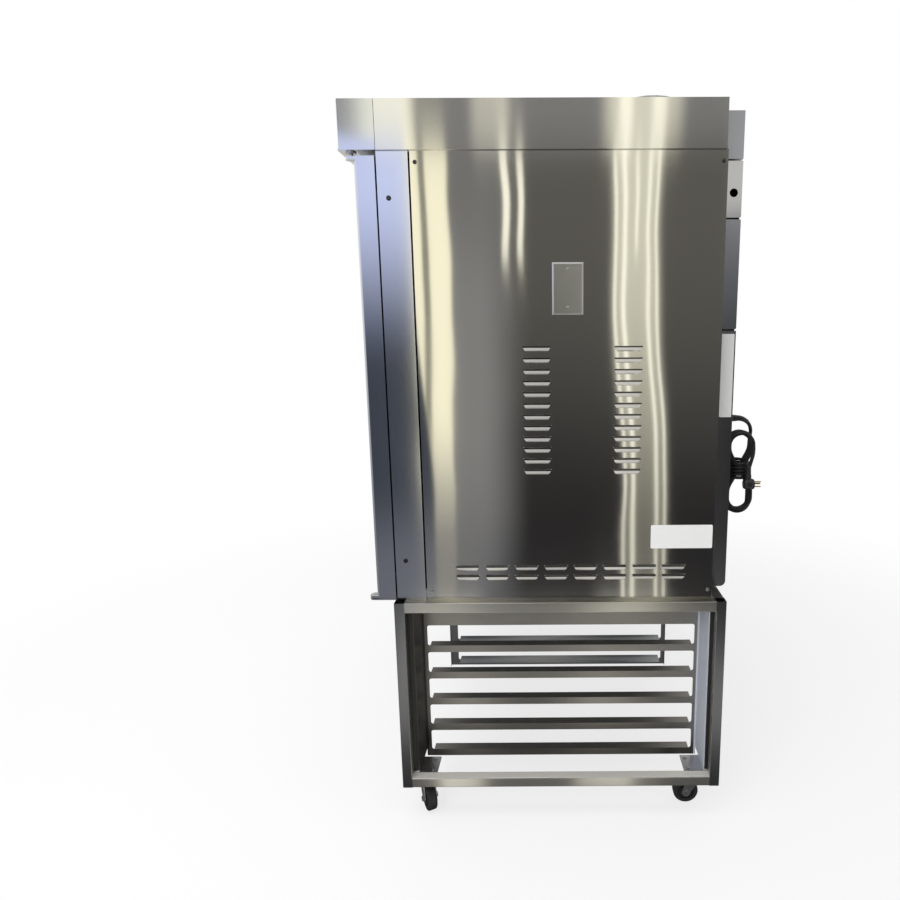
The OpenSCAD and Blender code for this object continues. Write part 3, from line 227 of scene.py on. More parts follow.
class Growth(Wiring):
    """A Geometry Nodes tree with named inputs. grow() runs it on a mesh and keeps the result."""

    prefix = "GeometryNode"

    def __init__(self, name, inputs):
        self.tree = bpy.data.node_groups.new(name, "GeometryNodeTree")
        doors = self.tree.interface
        doors.new_socket("Geometry", in_out="INPUT", socket_type="NodeSocketGeometry")
        doors.new_socket("Geometry", in_out="OUTPUT", socket_type="NodeSocketGeometry")
        self.keys = {}
        for key, kind in inputs.items():
            door = doors.new_socket(key, in_out="INPUT", socket_type="NodeSocket" + kind)
            self.keys[key] = door.identifier
        self.entry = self.tree.nodes.new("NodeGroupInput")

    def given(self, key):
        return Term(self, self.entry.outputs[key])

    def close(self, shape):
        """Ends the tree: real meshes, with their material."""
        real = self.node("RealizeInstances", None, {"Geometry": shape})
        done = self.node("SetMaterial", None, {"Geometry": real, "Material": self.given("Material")})
        leave = self.tree.nodes.new("NodeGroupOutput")
        self.tree.links.new(done.socket, leave.inputs["Geometry"])

    def grow(self, piece, **values):
        modifier = piece.modifiers.new("growth", "NODES")
        modifier.node_group = self.tree
        for key, value in values.items():
            modifier[self.keys[key]] = value
        return keep(piece, modifier)


# -------- finishes

LOUVER_FOOT, LOUVER_RIM = 0.0006, 0.0040  # how far out a louver's slope starts, and its rim
LIGHT_SCREWS_BELOW = 0.63  # height up to which the screws are light grey


def tones(colour, share):
    """A darker and a lighter tone of a colour."""
    return tuple(c * (1 - share) for c in colour), tuple(min(c * (1 + share), 1.0) for c in colour)


def brushed(
    name, colour, rough, grain, lines=0.03, wave=0.0, wave_size=(3, 3, 3), spread=1.0, turn=0.25,
    lean=0.0, pressed_and_lit=None,
):
    """Ground stainless sheet. grain is the scale of the fine lines along x, y and z.

    lean is the slope that the sheet gains from its top to its bottom, as thin sheet does
    round a row of louvers stamped in it. The last argument is the louvers' colour: dull
    stretched metal, painted lighter as a highlight, up to the mouth's rim, painted dark as shade.
    """
    f = Finish(name)
    fine = f.grain(grain, 2.0, 0.65)
    smudge = f.grain((3, 3, 2.2), 3.0)
    tone = (fine - 0.5) * lines + 0.5
    shade = f.mix(tone, *tones(colour, 0.5))
    roughness = (fine - 0.5) * 0.03 + (smudge - 0.5) * 0.03 + rough
    metallic = 1.0
    if pressed_and_lit:
        out = f.place()[0].sum("ABSOLUTE")
        louver = out.rise(side_x + LOUVER_FOOT, 0.0008)
        rim = out.rise(side_x + LOUVER_RIM, 0.0003)
        # painted highlight and painted shade: the louver faces are painted lighter for the light they
        # catch, and the rim of each mouth near-black for the shade under the sheet's edge
        shade = f.mix(rim, f.mix(louver, shade, pressed_and_lit), (0.07, 0.07, 0.07))
        metallic = 1 - louver * (1 - rim) * 0.55
        roughness = roughness + louver * 0.22
    extra = {}
    if wave:
        swell = f.grain(wave_size, 1.0, 0.4) * wave
        if lean:
            y, z = f.place()[1:]
            swell = swell + y * (1 - z.rise(LEAN_FROM, LEAN_OVER)) * lean
        extra["Normal"] = f.bump(swell)
    return f.surface(
        Base_Color=shade, Metallic=metallic, Roughness=roughness, Anisotropic=spread,
        Anisotropic_Rotation=turn, **extra,
    )


def plain(name, colour, rough, metallic=0.0, mottle=0.06, scale=60.0, coat=0.0, pits=0.0):
    """Paint, plastic, rubber or plate, slightly uneven."""
    f = Finish(name)
    cloud = f.grain((scale, scale, scale), 3.0)
    extra = {"Normal": f.bump(cloud * pits)} if pits else {}
    return f.surface(
        Base_Color=f.mix(cloud, *tones(colour, mottle)), Metallic=metallic,
        Roughness=(cloud - 0.5) * 0.16 + rough, Coat_Weight=coat, Coat_Roughness=0.08, **extra,
    )


def glass_finish():
    """Slightly green glass, a little smeared."""
    f = Finish("oven_glass")
    smear = f.grain((6, 6, 2), 3.0)
    return f.surface(
        Base_Color=(0.80, 0.88, 0.87), Roughness=smear * 0.05 + 0.01, IOR=1.5,
        Transmission_Weight=1.0,
    )


def glow_finish():
    """Lit segments of the display."""
    f = Finish("lit_segments")
    return f.surface(
        Base_Color=(0.30, 0.02, 0.01), Roughness=0.4, Emission_Color=(1.0, 0.10, 0.03),
        Emission_Strength=2.2,
    )


def wool_finish():
    f = Finish("mineral_wool")
    tuft = f.grain((90, 90, 90), 5.0, 0.7)
    return f.surface(
        Base_Color=f.mix(tuft, (0.55, 0.47, 0.26), (0.82, 0.77, 0.56)), Roughness=0.95,
        Normal=f.bump(tuft * 0.004),
    )


def heated_finish():
    """Stainless tube, straw and blue where the flame has heated it."""
    f = Finish("heated_tube")
    y = f.place()[1]
    patch = f.noise(f.where(), 9.0, 3.0, 0.6)
    near = f.mix(patch.rise(0.42, 0.2), (0.46, 0.33, 0.20), (0.30, 0.28, 0.36))
    colour = f.mix(y.rise(-0.15, 0.3), near, (0.50, 0.46, 0.42))
    return f.surface(Base_Color=colour, Metallic=1.0, Roughness=0.38)


def stand_finish():
    """Square tube of the stand's sides: the uprights painted dark as shade, the rails painted light as
    lit.
    """
    f = Finish("stand_steel")
    y, z = f.place()[1:]
    rail = y.band(post_front, post_rear, 0.0006)
    fine = f.grain((300, 60, 400), 2.0)
    smudge = f.grain((7, 7, 7), 3.0)
    tone = (fine - 0.5) * 0.10 + (smudge - 0.5) * 0.30 + 0.5
    # painted shade and painted light: the uprights take a dark copy of the tube and the rails a light
    # one, for how the light falls
    upright = f.mix(tone, (0.24, 0.245, 0.25), (0.38, 0.385, 0.39))
    painted_lit_rail = f.mix(tone, (0.62, 0.60, 0.55), (0.86, 0.84, 0.79))
    rail_top = stand_lo.z + tube_w  # of the bottom rail: its upper face is dull
    top = rail * z.band(rail_top - 0.0004, rail_top + 0.002, 0.0003)
    return f.surface(
        Base_Color=f.mix(rail, upright, painted_lit_rail), Metallic=1 - top * 0.75,
        Roughness=rail * 0.06 + 0.28, Anisotropic=0.6, Anisotropic_Rotation=0.25,
    )


def slide_finish():
    """Sheet of the tray slides: its front edge painted near-black as shade, its rear folds painted light
    blue-grey as lit.
    """
    f = Finish("slide_steel")
    y = f.place()[1]
    smudge = f.grain((9, 9, 12), 4.0, 0.65)
    web = f.mix(smudge, (0.30, 0.285, 0.265), (0.42, 0.405, 0.385))
    # painted shade: the front edge of the sheet is near-black, for the shade beside the post
    web_with_painted_shade = f.mix(y.rise(slide_lo.y + 0.004, 0.002), (0.13, 0.125, 0.12), web)
    # painted light: the rear folds are light blue-grey and less metallic, for the light that falls on
    # them
    rear = y.rise(slide_hi.y - 0.006, 0.002)
    return f.surface(
        Base_Color=f.mix(rear, web_with_painted_shade, (0.74, 0.78, 0.88)), Metallic=1 - rear * 0.75,
        Roughness=rear * 0.1 + 0.36,
    )


def screw_finish():
    """Zinc plated screws: dark grey on the sheets, light grey on the wall plate and low down."""
    f = Finish("screw_steel")
    y, z = f.place()[1:]
    on_plate = y.band(plate_lo.y, plate_hi.y, 0.001) * z.band(plate_lo.z, plate_hi.z, 0.001)
    light_screws = on_plate + (1 - z.rise(LIGHT_SCREWS_BELOW, 0.005))
    cloud = f.grain((200, 200, 200), 2.0)
    dark = f.mix(cloud, (0.06, 0.06, 0.062), (0.11, 0.11, 0.11))
    return f.surface(Base_Color=f.mix(light_screws, dark, (0.62, 0.62, 0.60)), Metallic=1.0, Roughness=0.34)


finishes = {
    "steel_panel": brushed(
        "side_steel", (0.61, 0.60, 0.58), 0.115, (60, 5, 620), wave=0.0018,
        wave_size=(2, 3.6, 3.4), lean=0.034, pressed_and_lit=(0.80, 0.78, 0.74)),
    "steel_hood": brushed(
        "hood_steel", (0.62, 0.61, 0.59), 0.16, (60, 5, 620), wave=0.0006, wave_size=(2, 3, 2)),
    "steel_front": brushed(
        "front_steel", (0.60, 0.61, 0.63), 0.17, (620, 620, 5), wave=0.0006,
        wave_size=(2, 2, 2), spread=0.5, turn=0.0),
    "steel_strip": brushed(
        "strip_steel", (0.60, 0.61, 0.63), 0.16, (620, 620, 5), wave=0.0004,
        wave_size=(2, 2, 2), spread=0.5),
    "steel_dark": brushed("shade_steel", (0.50, 0.51, 0.53), 0.30, (60, 5, 500), spread=0.7),
    "steel_tube": brushed("tube_steel", (0.52, 0.51, 0.485), 0.30, (300, 60, 300), spread=0.6),
    "plate_steel": brushed("plate_steel", (0.66, 0.66, 0.66), 0.34, (60, 60, 620), spread=0.3),
    "liner": brushed("liner_steel", (0.56, 0.56, 0.55), 0.30, (200, 200, 5), spread=0.7, turn=0.0),
    "bare_steel": plain("machined_steel", (0.52, 0.52, 0.52), 0.30, 1.0),
    "zinc": plain("zinc_plate", (0.68, 0.69, 0.71), 0.34, 1.0),
    "galvanised": plain("galvanised_sheet", (0.60, 0.62, 0.64), 0.45, 1.0, 0.16, 30.0),
    "wool": wool_finish(),
    "hot_tube": heated_finish(),
    "brass": plain("brass_fitting", (0.72, 0.52, 0.20), 0.32, 1.0),
    "motor_paint": plain("motor_paint", (0.12, 0.15, 0.18), 0.45, pits=0.0003),
    "cast": plain("cast_housing", (0.16, 0.17, 0.18), 0.60, pits=0.0006),
    "chain": plain("oiled_chain", (0.16, 0.15, 0.14), 0.38, 1.0),
    "glass": glass_finish(),
    "gasket": plain("silicone_gasket", (0.04, 0.04, 0.045), 0.65),
    "chrome": plain("polished_steel", (0.76, 0.76, 0.77), 0.14, 1.0, 0.02),
    "black_plastic": plain("black_moulding", (0.018, 0.018, 0.020), 0.32, coat=0.2),
    "key": plain("grey_key", (0.48, 0.49, 0.52), 0.50),
    "red_plastic": plain("red_button", (0.58, 0.02, 0.015), 0.28, coat=0.4),
    "tread": plain("caster_tread", (0.022, 0.022, 0.024), 0.55, pits=0.0002),
    "screw_steel": screw_finish(),
    "stand": stand_finish(),
    "slide": slide_finish(),
    # painted shade: near-black strips that stand in for the shade inside the stand's posts
    "return": plain("painted_shade_steel", (0.055, 0.054, 0.052), 0.40, 0.8),
    "lens": plain("display_lens", (0.008, 0.004, 0.004), 0.08, coat=1.0, mottle=0.02),
    "print": plain("printed_mark", (0.80, 0.80, 0.80), 0.50, mottle=0.02),
    "digits": glow_finish(),
    "strip": plain("seam_strip", (0.10, 0.10, 0.105), 0.55, 0.6),
    "label": plain("label_film", (0.86, 0.86, 0.85), 0.38, mottle=0.03),
    "cord": plain("cord_jacket", (0.012, 0.012, 0.013), 0.42, mottle=0.2),
}
slot_of = {s["node"]: s["material_slot"] for s in frame["record"]["subparts"]}
finish_of = {  # where a piece's finish isn't that of its material slot
    "hood_fascia": "steel_front", "hood_bands": "steel_hood", "front_frame": "steel_strip",
    "control_door": "steel_strip", "door_skin": "steel_front", "vent_box": "steel_dark",
    "wall_plate": "plate_steel", "stand_side_right": "stand", "stand_side_left": "stand",
    "slide_panel_right": "slide", "slide_panel_left": "slide",
}
for name, solid in nodes.items():
    solid.data.materials.clear()
    solid.data.materials.append(finishes[finish_of.get(name, slot_of[name])])


# -------- studio

WHITE = (1, 1, 1, 1)
FLOOR = 30  # half the floor's width
AIR = 0.55  # strength of the light from all round
RING_R, RING_H = 1.30, 2.6  # radius and height of the ring of reflector cards round the oven
RING_SPREAD = 1.49  # how many times further apart heights lie on the ring than on the side panel
RING_STEPS = 96
MIDDLE_COLUMN = 555.0  # column of the picture straight ahead of the eye
LENS_COLUMNS = 616.6  # the lens's focal length in columns of the picture


def mesh_piece(name, points, faces, smooth=False, edges=()):
    mesh = bpy.data.meshes.new(name)
    mesh.from_pydata([tuple(p) for p in points], edges, faces)
    mesh.update()
    piece = bpy.data.objects.new(name, mesh)
    scene.collection.objects.link(piece)
    for face in mesh.polygons:
        face.use_smooth = smooth
    return piece


def seen_rays(wiring):
    """1 for rays that end in the picture, straight, mirrored or through glass."""
    straight, mirrored, through = (
        wiring.node("LightPath", out=ray)
        for ray in ("Is Camera Ray", "Is Glossy Ray", "Is Transmission Ray"))
    return straight.sum("MAXIMUM", mirrored).sum("MAXIMUM", through)


def add_floor():
    """A white floor that keeps the oven's shadow and turns into the backdrop further out."""
    f = Finish("studio_floor")
    x, y = f.place()[:2]
    away = (x * x + y * y).sum("SQRT").rise(1.2, 1.6)
    matt = f.node("BsdfDiffuse", None, {"Color": (0.86, 0.86, 0.86, 1)})
    lift = f.node("Emission", None, {"Color": WHITE, "Strength": 1.0})
    near = f.node("MixShader", None, [0.74, matt, lift])
    far = f.node("MixShader", None, [away, near, lift])
    f.close(f.node("MixShader", None, [seen_rays(f), matt, far]))
    corners = [(x * FLOOR, y * FLOOR, 0) for x, y in ((-1, -1), (1, -1), (1, 1), (-1, 1))]
    floor = mesh_piece("studio_floor", corners, [(0, 1, 2, 3)])
    floor.data.materials.append(f.material)


def add_world():
    """Even light from all round, white where it is seen."""
    world = bpy.data.worlds.new("studio_air")
    scene.world = world
    world.use_nodes = True
    air = Wiring()
    air.tree = world.node_tree
    air.tree.nodes.clear()
    level = air.node("MapRange", None, {"Value": seen_rays(air), "To Min": AIR, "To Max": 1.0})
    glow = air.node("Background", None, {"Color": WHITE, "Strength": level})
    air.make("OutputWorld", None, {"Surface": glow})


def card_angle(column):
    """Angle round the ring that the side panel mirrors at this column of the picture."""
    y = EYE.y + (column - MIDDLE_COLUMN) * (EYE.x - side_x) / LENS_COLUMNS
    step = Vector((EYE.x - side_x, y - EYE.y, 0))
    start = Vector((side_x, y, 0))
    a, b, c = step.dot(step), 2 * start.dot(step), start.dot(start) - RING_R**2
    hit = start + step * ((-b + math.sqrt(b * b - 4 * a * c)) / (2 * a))
    return math.atan2(hit.y, hit.x)


def ring_of_cards():
    """Points and faces of an upright ring and of the floor inside it."""
    points, faces = [], []
    for i in range(RING_STEPS):
        a = 2 * math.pi * i / RING_STEPS
        for r, h in ((0.05, 0.003), (RING_R, 0.003), (RING_R, RING_H)):
            points.append((r * math.cos(a), r * math.sin(a), h))
        j = (i + 1) % RING_STEPS
        for k in (0, 1):
            faces.append((3 * i + k, 3 * i + k + 1, 3 * j + k + 1, 3 * j + k))
    return points, faces


def add_cards():
    """Grey and bright cards round the oven, which only metal and gloss show.

    Places along the ring are given as the columns of the picture that mirror them.
    """
    f = Finish("reflector_cards")
    x, y, z = f.place()
    around = y.sum("ARCTAN2", x)
    level = (z - EYE.z) / RING_SPREAD + EYE.z  # height on the side panel that mirrors this height
    along = around + (f.noise(f.where(), 2.0, 1.0) - 0.5) * 0.02
    still = along + (1 - level.rise(LEAN_FROM, LEAN_OVER)) * 0.045

    def stripe(left, right, soft=0.002, course=along):
        """With still as its course, the lean of the lower sheet doesn't carry it along."""
        return course.band(card_angle(left), card_angle(right), soft)

    warm, white = (1.55, 1.48, 1.12), (1.7, 1.66, 1.40)

    # the side panel: grey on the left, dark on the right
    left = f.mix(level.rise(0.55, 0.45), (0.185, 0.19, 0.205), (0.34, 0.335, 0.33))
    left = f.mix(level.rise(1.27, 0.28), left, (0.25, 0.25, 0.245))
    right = f.mix(level.rise(0.75, 0.7), (0.030, 0.029, 0.030), (0.15, 0.145, 0.13))
    shade = f.mix(still.rise(card_angle(482), card_angle(534) - card_angle(482)), left, right)
    haze = f.mix(level.rise(0.70, 0.75), (0.22, 0.21, 0.18), (0.95, 0.93, 0.76))
    shade = f.mix(stripe(622, 649, 0.042), shade, haze)
    # its bright band with a dark line in it, and the bright lines
    fade = level.rise(0.74, 0.30) * 0.9 + 0.1
    shade = f.mix(stripe(395, 454, 0.010, still) * fade, shade, warm)
    shade = f.mix(stripe(430, 435, 0.003, still) * level.rise(0.85, 0.2), shade, (0.32, 0.31, 0.25))
    short = level.rise(1.36, 0.03)
    for start, end in ((506, 512), (522, 527)):
        shade = f.mix(stripe(start, end) * short, shade, white)
    lit = level.rise(0.62, 0.5) * 0.35 + 0.65
    for start, end in ((613.5, 616), (622, 625.5), (646.5, 649), (655, 657)):
        shade = f.mix(stripe(start, end) * lit, shade, white)
    shade = f.mix(stripe(635, 637, 0.003) * level.rise(1.38, 0.03), shade, white)
    # the rear covers' sides
    far = f.mix(level.rise(1.15, 0.25), (0.025, 0.025, 0.028), (0.21, 0.215, 0.235))
    far = f.mix(level.rise(1.46, 0.03), far, (0.80, 0.80, 0.80))
    shade = f.mix(along.rise(card_angle(722), 0.02), shade, far)
    # the front frame and the control door: cool light from above
    cool = f.mix(level.rise(1.14, 0.40), (0.070, 0.080, 0.105), (0.90, 0.98, 1.36))
    cool = f.mix(1 - level.rise(0.68, 0.22), cool, (0.20, 0.21, 0.24))
    shade = f.mix(1 - along.rise(card_angle(417), 0.008), shade, cool)
    # the hood's bands
    hood = (0.31, 0.31, 0.305)
    for start, end, soft, colour in (
        (372, 418, 0.035, (1.45, 1.43, 1.20)), (486, 510, 0.030, (0.85, 0.83, 0.72)),
        (612, 668, 0.040, (1.00, 0.98, 0.82)), (619, 629, 0.006, white), (650, 660, 0.006, white),
    ):
        hood = f.mix(stripe(start, end, soft), hood, colour)
    hood = f.mix(1 - along.rise(card_angle(373), 0.008), hood, (0.40, 0.40, 0.395))
    hood = f.mix(along.rise(card_angle(722), 0.02), hood, (0.60, 0.60, 0.58))
    shade = f.mix(level.rise(1.60, 0.02), shade, hood)
    # below the oven: what the stand's rails mirror
    rail = f.mix(stripe(404, 446, 0.08), (0.20, 0.20, 0.19), (1.6, 1.56, 1.42))
    rail = f.mix(stripe(602, 652, 0.07), rail, (1.5, 1.46, 1.33))
    rail = f.mix(stripe(404, 700, 0.02), (0.07, 0.07, 0.072), rail)
    shade = f.mix(z.rise(0.238, 0.02), rail, shade)
    # what the doors, the rear and the left-hand side mirror
    front = f.mix(z.rise(0.3, 1.4), (0.30, 0.31, 0.33), (1.1, 1.12, 1.15))
    shade = f.mix(1 - around.rise(-1.1, 0.3), shade, front)
    bands = (around * 9.0 - 8.2).sum("SINE") * 0.5 + 0.5
    back = f.mix(bands, (0.16, 0.165, 0.175), (0.75, 0.74, 0.70))
    shade = f.mix(around.rise(0.66, 0.14), shade, back)
    shade = f.mix(1 - around.rise(-2.4, 0.4), shade, back)
    # floor card: dark close to the oven, bright further out
    reach = (x * x + y * y).sum("SQRT")
    dim_rail = f.mix(0.40, rail, (0.03, 0.03, 0.03))
    ground = f.mix(reach.rise(0.68, 0.08), (0.10, 0.098, 0.092), dim_rail)
    ground = f.mix(reach.rise(0.95, 0.2), ground, (0.52, 0.52, 0.50))
    shade = f.mix(z.rise(0.05, 0.2), ground, shade)
    f.close(f.node("Emission", None, {"Color": shade, "Strength": 1.0}))
    ring = mesh_piece("reflector_cards", *ring_of_cards())
    ring.data.materials.append(f.material)
    ring.visible_camera = ring.visible_diffuse = ring.visible_shadow = False
    ring.visible_transmission = ring.visible_volume_scatter = False


def add_lamp(name, place, aim, size, power):
    """A square lamp that metal doesn't mirror."""
    data = bpy.data.lights.new(name, "AREA")
    data.size = size
    data.energy = power
    lamp = bpy.data.objects.new(name, data)
    scene.collection.objects.link(lamp)
    lamp.location = place
    lamp.rotation_euler = (Vector(aim) - Vector(place)).to_track_quat("-Z", "Y").to_euler()
    lamp.visible_glossy = False


add_floor()
add_world()
add_cards()
add_lamp("overhead", (0.4, -0.6, 4.0), (0, 0, 0.8), 3.0, 90)
add_lamp("side", (3.2, -1.6, 2.6), (0.5, 0, 0.9), 2.2, 45)


# -------- shapes

SHARP = math.radians(40)  # edges sharper than this are rounded where a piece has a bevel


def merged(mesh):
    """The mesh in bmesh form, its doubled points merged."""
    work = bmesh.new()
    work.from_mesh(mesh)
    bmesh.ops.remove_doubles(work, verts=work.verts, dist=1e-6)
    return work


def outward(mesh, bevel=0.0):
    """Merges doubled points, turns every face outwards and rounds the sharp edges."""
    work = merged(mesh)
    bmesh.ops.recalc_face_normals(work, faces=work.faces)
    if bevel:
        sharp = [e for e in work.edges if len(e.link_faces) == 2 and e.calc_face_angle(0) > SHARP]
        bmesh.ops.bevel(work, geom=sharp, offset=bevel, segments=2, affect="EDGES", profile=0.5)
    work.to_mesh(mesh)
    work.free()


def hand_over(piece, body="oven_body"):
    """Says which body a piece belongs to."""
    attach(piece, body)


def close_up(piece, finish, body="oven_body", smooth=False, bevel=0.0):
    """Finishes a piece: closed and outward faces, its material and body."""
    outward(piece.data, bevel)
    for face in piece.data.polygons:
        face.use_smooth = smooth
    piece.data.materials.clear()
    piece.data.materials.append(finish)
    hand_over(piece, body)


def ring_points(centre, u, v, radius, count):
    """Points round a circle in the plane of u and v."""
    angles = [2 * math.pi * i / count for i in range(count)]
    return [centre + u * (radius * math.cos(a)) + v * (radius * math.sin(a)) for a in angles]


def skin(rings):
    """Points and faces of a closed skin over rings with the same number of points."""
    count, last = len(rings[0]), (len(rings) - 1) * len(rings[0])
    points = [p for ring in rings for p in ring]
    faces = []
    for a in range(0, last, count):
        for i in range(count):
            j = (i + 1) % count
            faces.append((a + i, a + j, a + count + j, a + count + i))
    faces.append(tuple(reversed(range(count))))
    faces.append(tuple(range(last, last + count)))
    return points, faces


def turned(name, start, axis, profile, count):
    """A solid of revolution: profile is (distance along the axis, radius)."""
    axis = Vector(axis).normalized()
    side = Vector((0, 0, 1)) if abs(axis.z) < 0.9 else Vector((1, 0, 0))
    u = axis.cross(side).normalized()
    v = axis.cross(u)
    rings = [ring_points(Vector(start) + axis * d, u, v, max(r, 1e-4), count) for d, r in profile]
    return mesh_piece(name, *skin(rings))


def tube_along(name, path, radii, count):
    """A round tube along a path, with a radius at each point, carried along without twist."""
    rings, u = [], None
    for i, (p, radius) in enumerate(zip(path, radii)):
        ahead = (path[min(i + 1, len(path) - 1)] - path[max(i - 1, 0)]).normalized()
        if u is None:
            u = ahead.orthogonal().normalized()
        u = (u - ahead * u.dot(ahead)).normalized()
        rings.append(ring_points(p, u, ahead.cross(u), radius, count))
    return mesh_piece(name, *skin(rings), smooth=True)


def block(lo, hi):
    """Points and faces of a box between two corners."""
    (a, b, c), (d, e, f) = lo, hi
    points = [(a, b, c), (d, b, c), (d, e, c), (a, e, c), (a, b, f), (d, b, f), (d, e, f), (a, e, f)]
    return points, [(0, 3, 2, 1), (4, 5, 6, 7), (0, 1, 5, 4), (1, 2, 6, 5), (2, 3, 7, 6), (3, 0, 4, 7)]


def many(parts):
    """Several lots of points and faces as one."""
    points, faces = [], []
    for p, f in parts:
        base = len(points)
        points += p
        faces += [tuple(i + base for i in face) for face in f]
    return points, faces


def smooth_line(points, per_span):
    """A rounded curve through the points, with per_span steps between each two."""
    curve = []
    for i in range(len(points) - 1):
        p0, p1, p2 = points[max(i - 1, 0)], points[i], points[i + 1]
        p3 = points[min(i + 2, len(points) - 1)]
        slope, bend, twist = p2 - p0, 2 * p0 - 5 * p1 + 4 * p2 - p3, 3 * p1 - p0 - 3 * p2 + p3
        for k in range(per_span):
            t = k / per_span
            curve.append(0.5 * (2 * p1 + slope * t + bend * t * t + twist * t**3))
    curve.append(points[-1])
    return curve


def sweep_tree():
    """Tree for a round tube along a line of points."""
    g = Growth("tube_sweep", {"Radius": "Float", "Sides": "Int", "Material": "Material"})
    line = g.node("MeshToCurve", None, {"Mesh": g.given("Geometry")})
    round_section = {"Resolution": g.given("Sides"), "Radius": g.given("Radius")}
    ring = g.node("CurvePrimitiveCircle", {"mode": "RADIUS"}, round_section)
    tube = g.node("CurveToMesh", None, {"Curve": line, "Profile Curve": ring, "Fill Caps": True})
    g.close(g.node("SetShadeSmooth", None, {"Geometry": tube}))
    return g


def scatter_tree():
    """Tree for copies of one shape on points, turned and sized by two attributes."""
    g = Growth("scatter", {"Shape": "Object", "Material": "Material"})
    facing = g.node("InputNamedAttribute", {"data_type": "FLOAT_VECTOR"}, {"Name": "facing"})
    size = g.node("InputNamedAttribute", {"data_type": "FLOAT"}, {"Name": "size"})
    turn = g.node("FunctionNodeAlignRotationToVector", {"axis": "Z"}, {"Vector": facing})
    shape = g.node("ObjectInfo", None, {"Object": g.given("Shape")}, 4)
    g.close(g.node("InstanceOnPoints", None, {
        "Points": g.given("Geometry"), "Instance": shape, "Rotation": turn, "Scale": size}))
    return g


def chain_tree():
    """Tree for two kinds of link in turn along a closed line."""
    g = Growth("chain", {"Links": "Int", "Outer": "Object", "Inner": "Object", "Material": "Material"})
    line = g.node("MeshToCurve", None, {"Mesh": g.given("Geometry")})
    laid = g.make("CurveToPoints", {"mode": "COUNT"}, {"Curve": line, "Count": g.given("Links")})
    ahead = {"Vector": Term(g, laid.outputs["Tangent"])}
    turn = g.node("FunctionNodeAlignRotationToVector", {"axis": "X", "pivot_axis": "Z"}, ahead)
    odd = g.node("InputIndex").sum("MODULO", 2.0)
    rows = []
    for key, pick in (("Outer", odd), ("Inner", 1 - odd)):
        link = g.node("ObjectInfo", None, {"Object": g.given(key)}, 4)
        rows.append(g.node("InstanceOnPoints", None, {
            "Points": Term(g, laid.outputs["Points"]), "Selection": pick, "Instance": link,
            "Rotation": turn}))
    both = g.make("JoinGeometry")
    for row in rows:
        g.tree.links.new(row.socket, both.inputs[0])
    g.close(Term(g, both.outputs[0]))
    return g


tube_sweep, scatter, chain_of_links = sweep_tree(), scatter_tree(), chain_tree()


def line_of(name, points, closed=False):
    """A mesh of edges only, through the points."""
    edges = [(i, i + 1) for i in range(len(points) - 1)]
    if closed:
        edges.append((len(points) - 1, 0))
    return mesh_piece(name, points, [], edges=edges)


def swept(name, points, radius, finish, sides):
    """A round tube along a line of points."""
    return tube_sweep.grow(line_of(name, points), Radius=radius, Sides=sides, Material=finish)


def drop(*helpers):
    """Takes shapes that only other pieces are made with out of the scene."""
    for piece in helpers:
        bpy.data.objects.remove(piece)


# -------- screws


def islands(solid):
    """Boxes round the separate solids of a node."""
    work = merged(solid.data)
    left = set(work.verts)
    boxes = []
    while left:
        group, edge = set(), [left.pop()]
        while edge:
            v = edge.pop()
            group.add(v)
            for e in v.link_edges:
                w = e.other_vert(v)
                if w in left:
                    left.discard(w)
                    edge.append(w)
        boxes.append([Vector(end(v.co[k] for v in group) for k in range(3)) for end in (min, max)])
    work.free()
    return sorted(boxes, key=lambda b: tuple(round(c, 5) for c in b[0]))


def cut_by(piece, tool):
    """Takes the tool's shape out of the piece."""
    outward(piece.data)
    outward(tool.data)
    modifier = piece.modifiers.new("cut", "BOOLEAN")
    modifier.operation, modifier.solver, modifier.object = "DIFFERENCE", "EXACT", tool
    keep(piece, modifier)
    drop(tool)
    return piece


def screw_pattern():
    """Pan head with a cross recess, one unit wide, its seat at z 0."""
    head = turned("screw_pattern", (0, 0, 0), (0, 0, 1), [
        (0, 0.48), (0.03, 0.5), (0.09, 0.5), (0.17, 0.47), (0.235, 0.38), (0.27, 0.24),
        (0.28, 0.08), (0.28, 0.0)], 28)
    arm, half, floor, above = 0.25, 0.05, 0.12, 0.4
    cross = []
    for ux, uy in ((1, 0), (0, 1), (-1, 0), (0, -1)):  # each arm's two corners and the inner one
        for a, b in ((arm, -half), (arm, half), (half, half)):
            cross.append((a * ux - b * uy, a * uy + b * ux))
    tool = mesh_piece("cross", *skin([[(x, y, z) for x, y in cross] for z in (floor, above)]))
    return cut_by(head, tool)


def add_screws():
    """A cross recessed head on each spot where the solids have a plain one."""
    spots, facings, sizes = [], [], []
    for lo, hi in islands(nodes["screws"]):
        thin = min(range(3), key=lambda k: hi[k] - lo[k])
        way = Vector((0, 0, 0))
        middle = (lo + hi) / 2
        way[thin] = 1 if middle[thin] > 0 else -1
        middle[thin] = lo[thin] if way[thin] > 0 else hi[thin]
        spots.append(middle)
        facings.append(way)
        sizes.append(max(hi[k] - lo[k] for k in range(3)))
    heads = mesh_piece("screw_heads", spots, [])
    marks = heads.data.attributes
    marks.new("facing", "FLOAT_VECTOR", "POINT")
    marks.new("size", "FLOAT", "POINT")
    marks["facing"].data.foreach_set("vector", [c for way in facings for c in way])
    marks["size"].data.foreach_set("value", sizes)
    shape = screw_pattern()
    scatter.grow(heads, Shape=shape, Material=finishes["screw_steel"])
    drop(shape)
    hand_over(heads)
    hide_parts("screws")


add_screws()


# -------- drive chain

CHAIN_PITCH = 0.009525
TEETH = (48, 12)  # of the large and the small sprocket
# A link's plates: thickness, radius of the ends, and the waist as a share of that radius
LINK_THICK, LINK_END_R, LINK_WAIST = 0.0009, 0.0041, 0.72


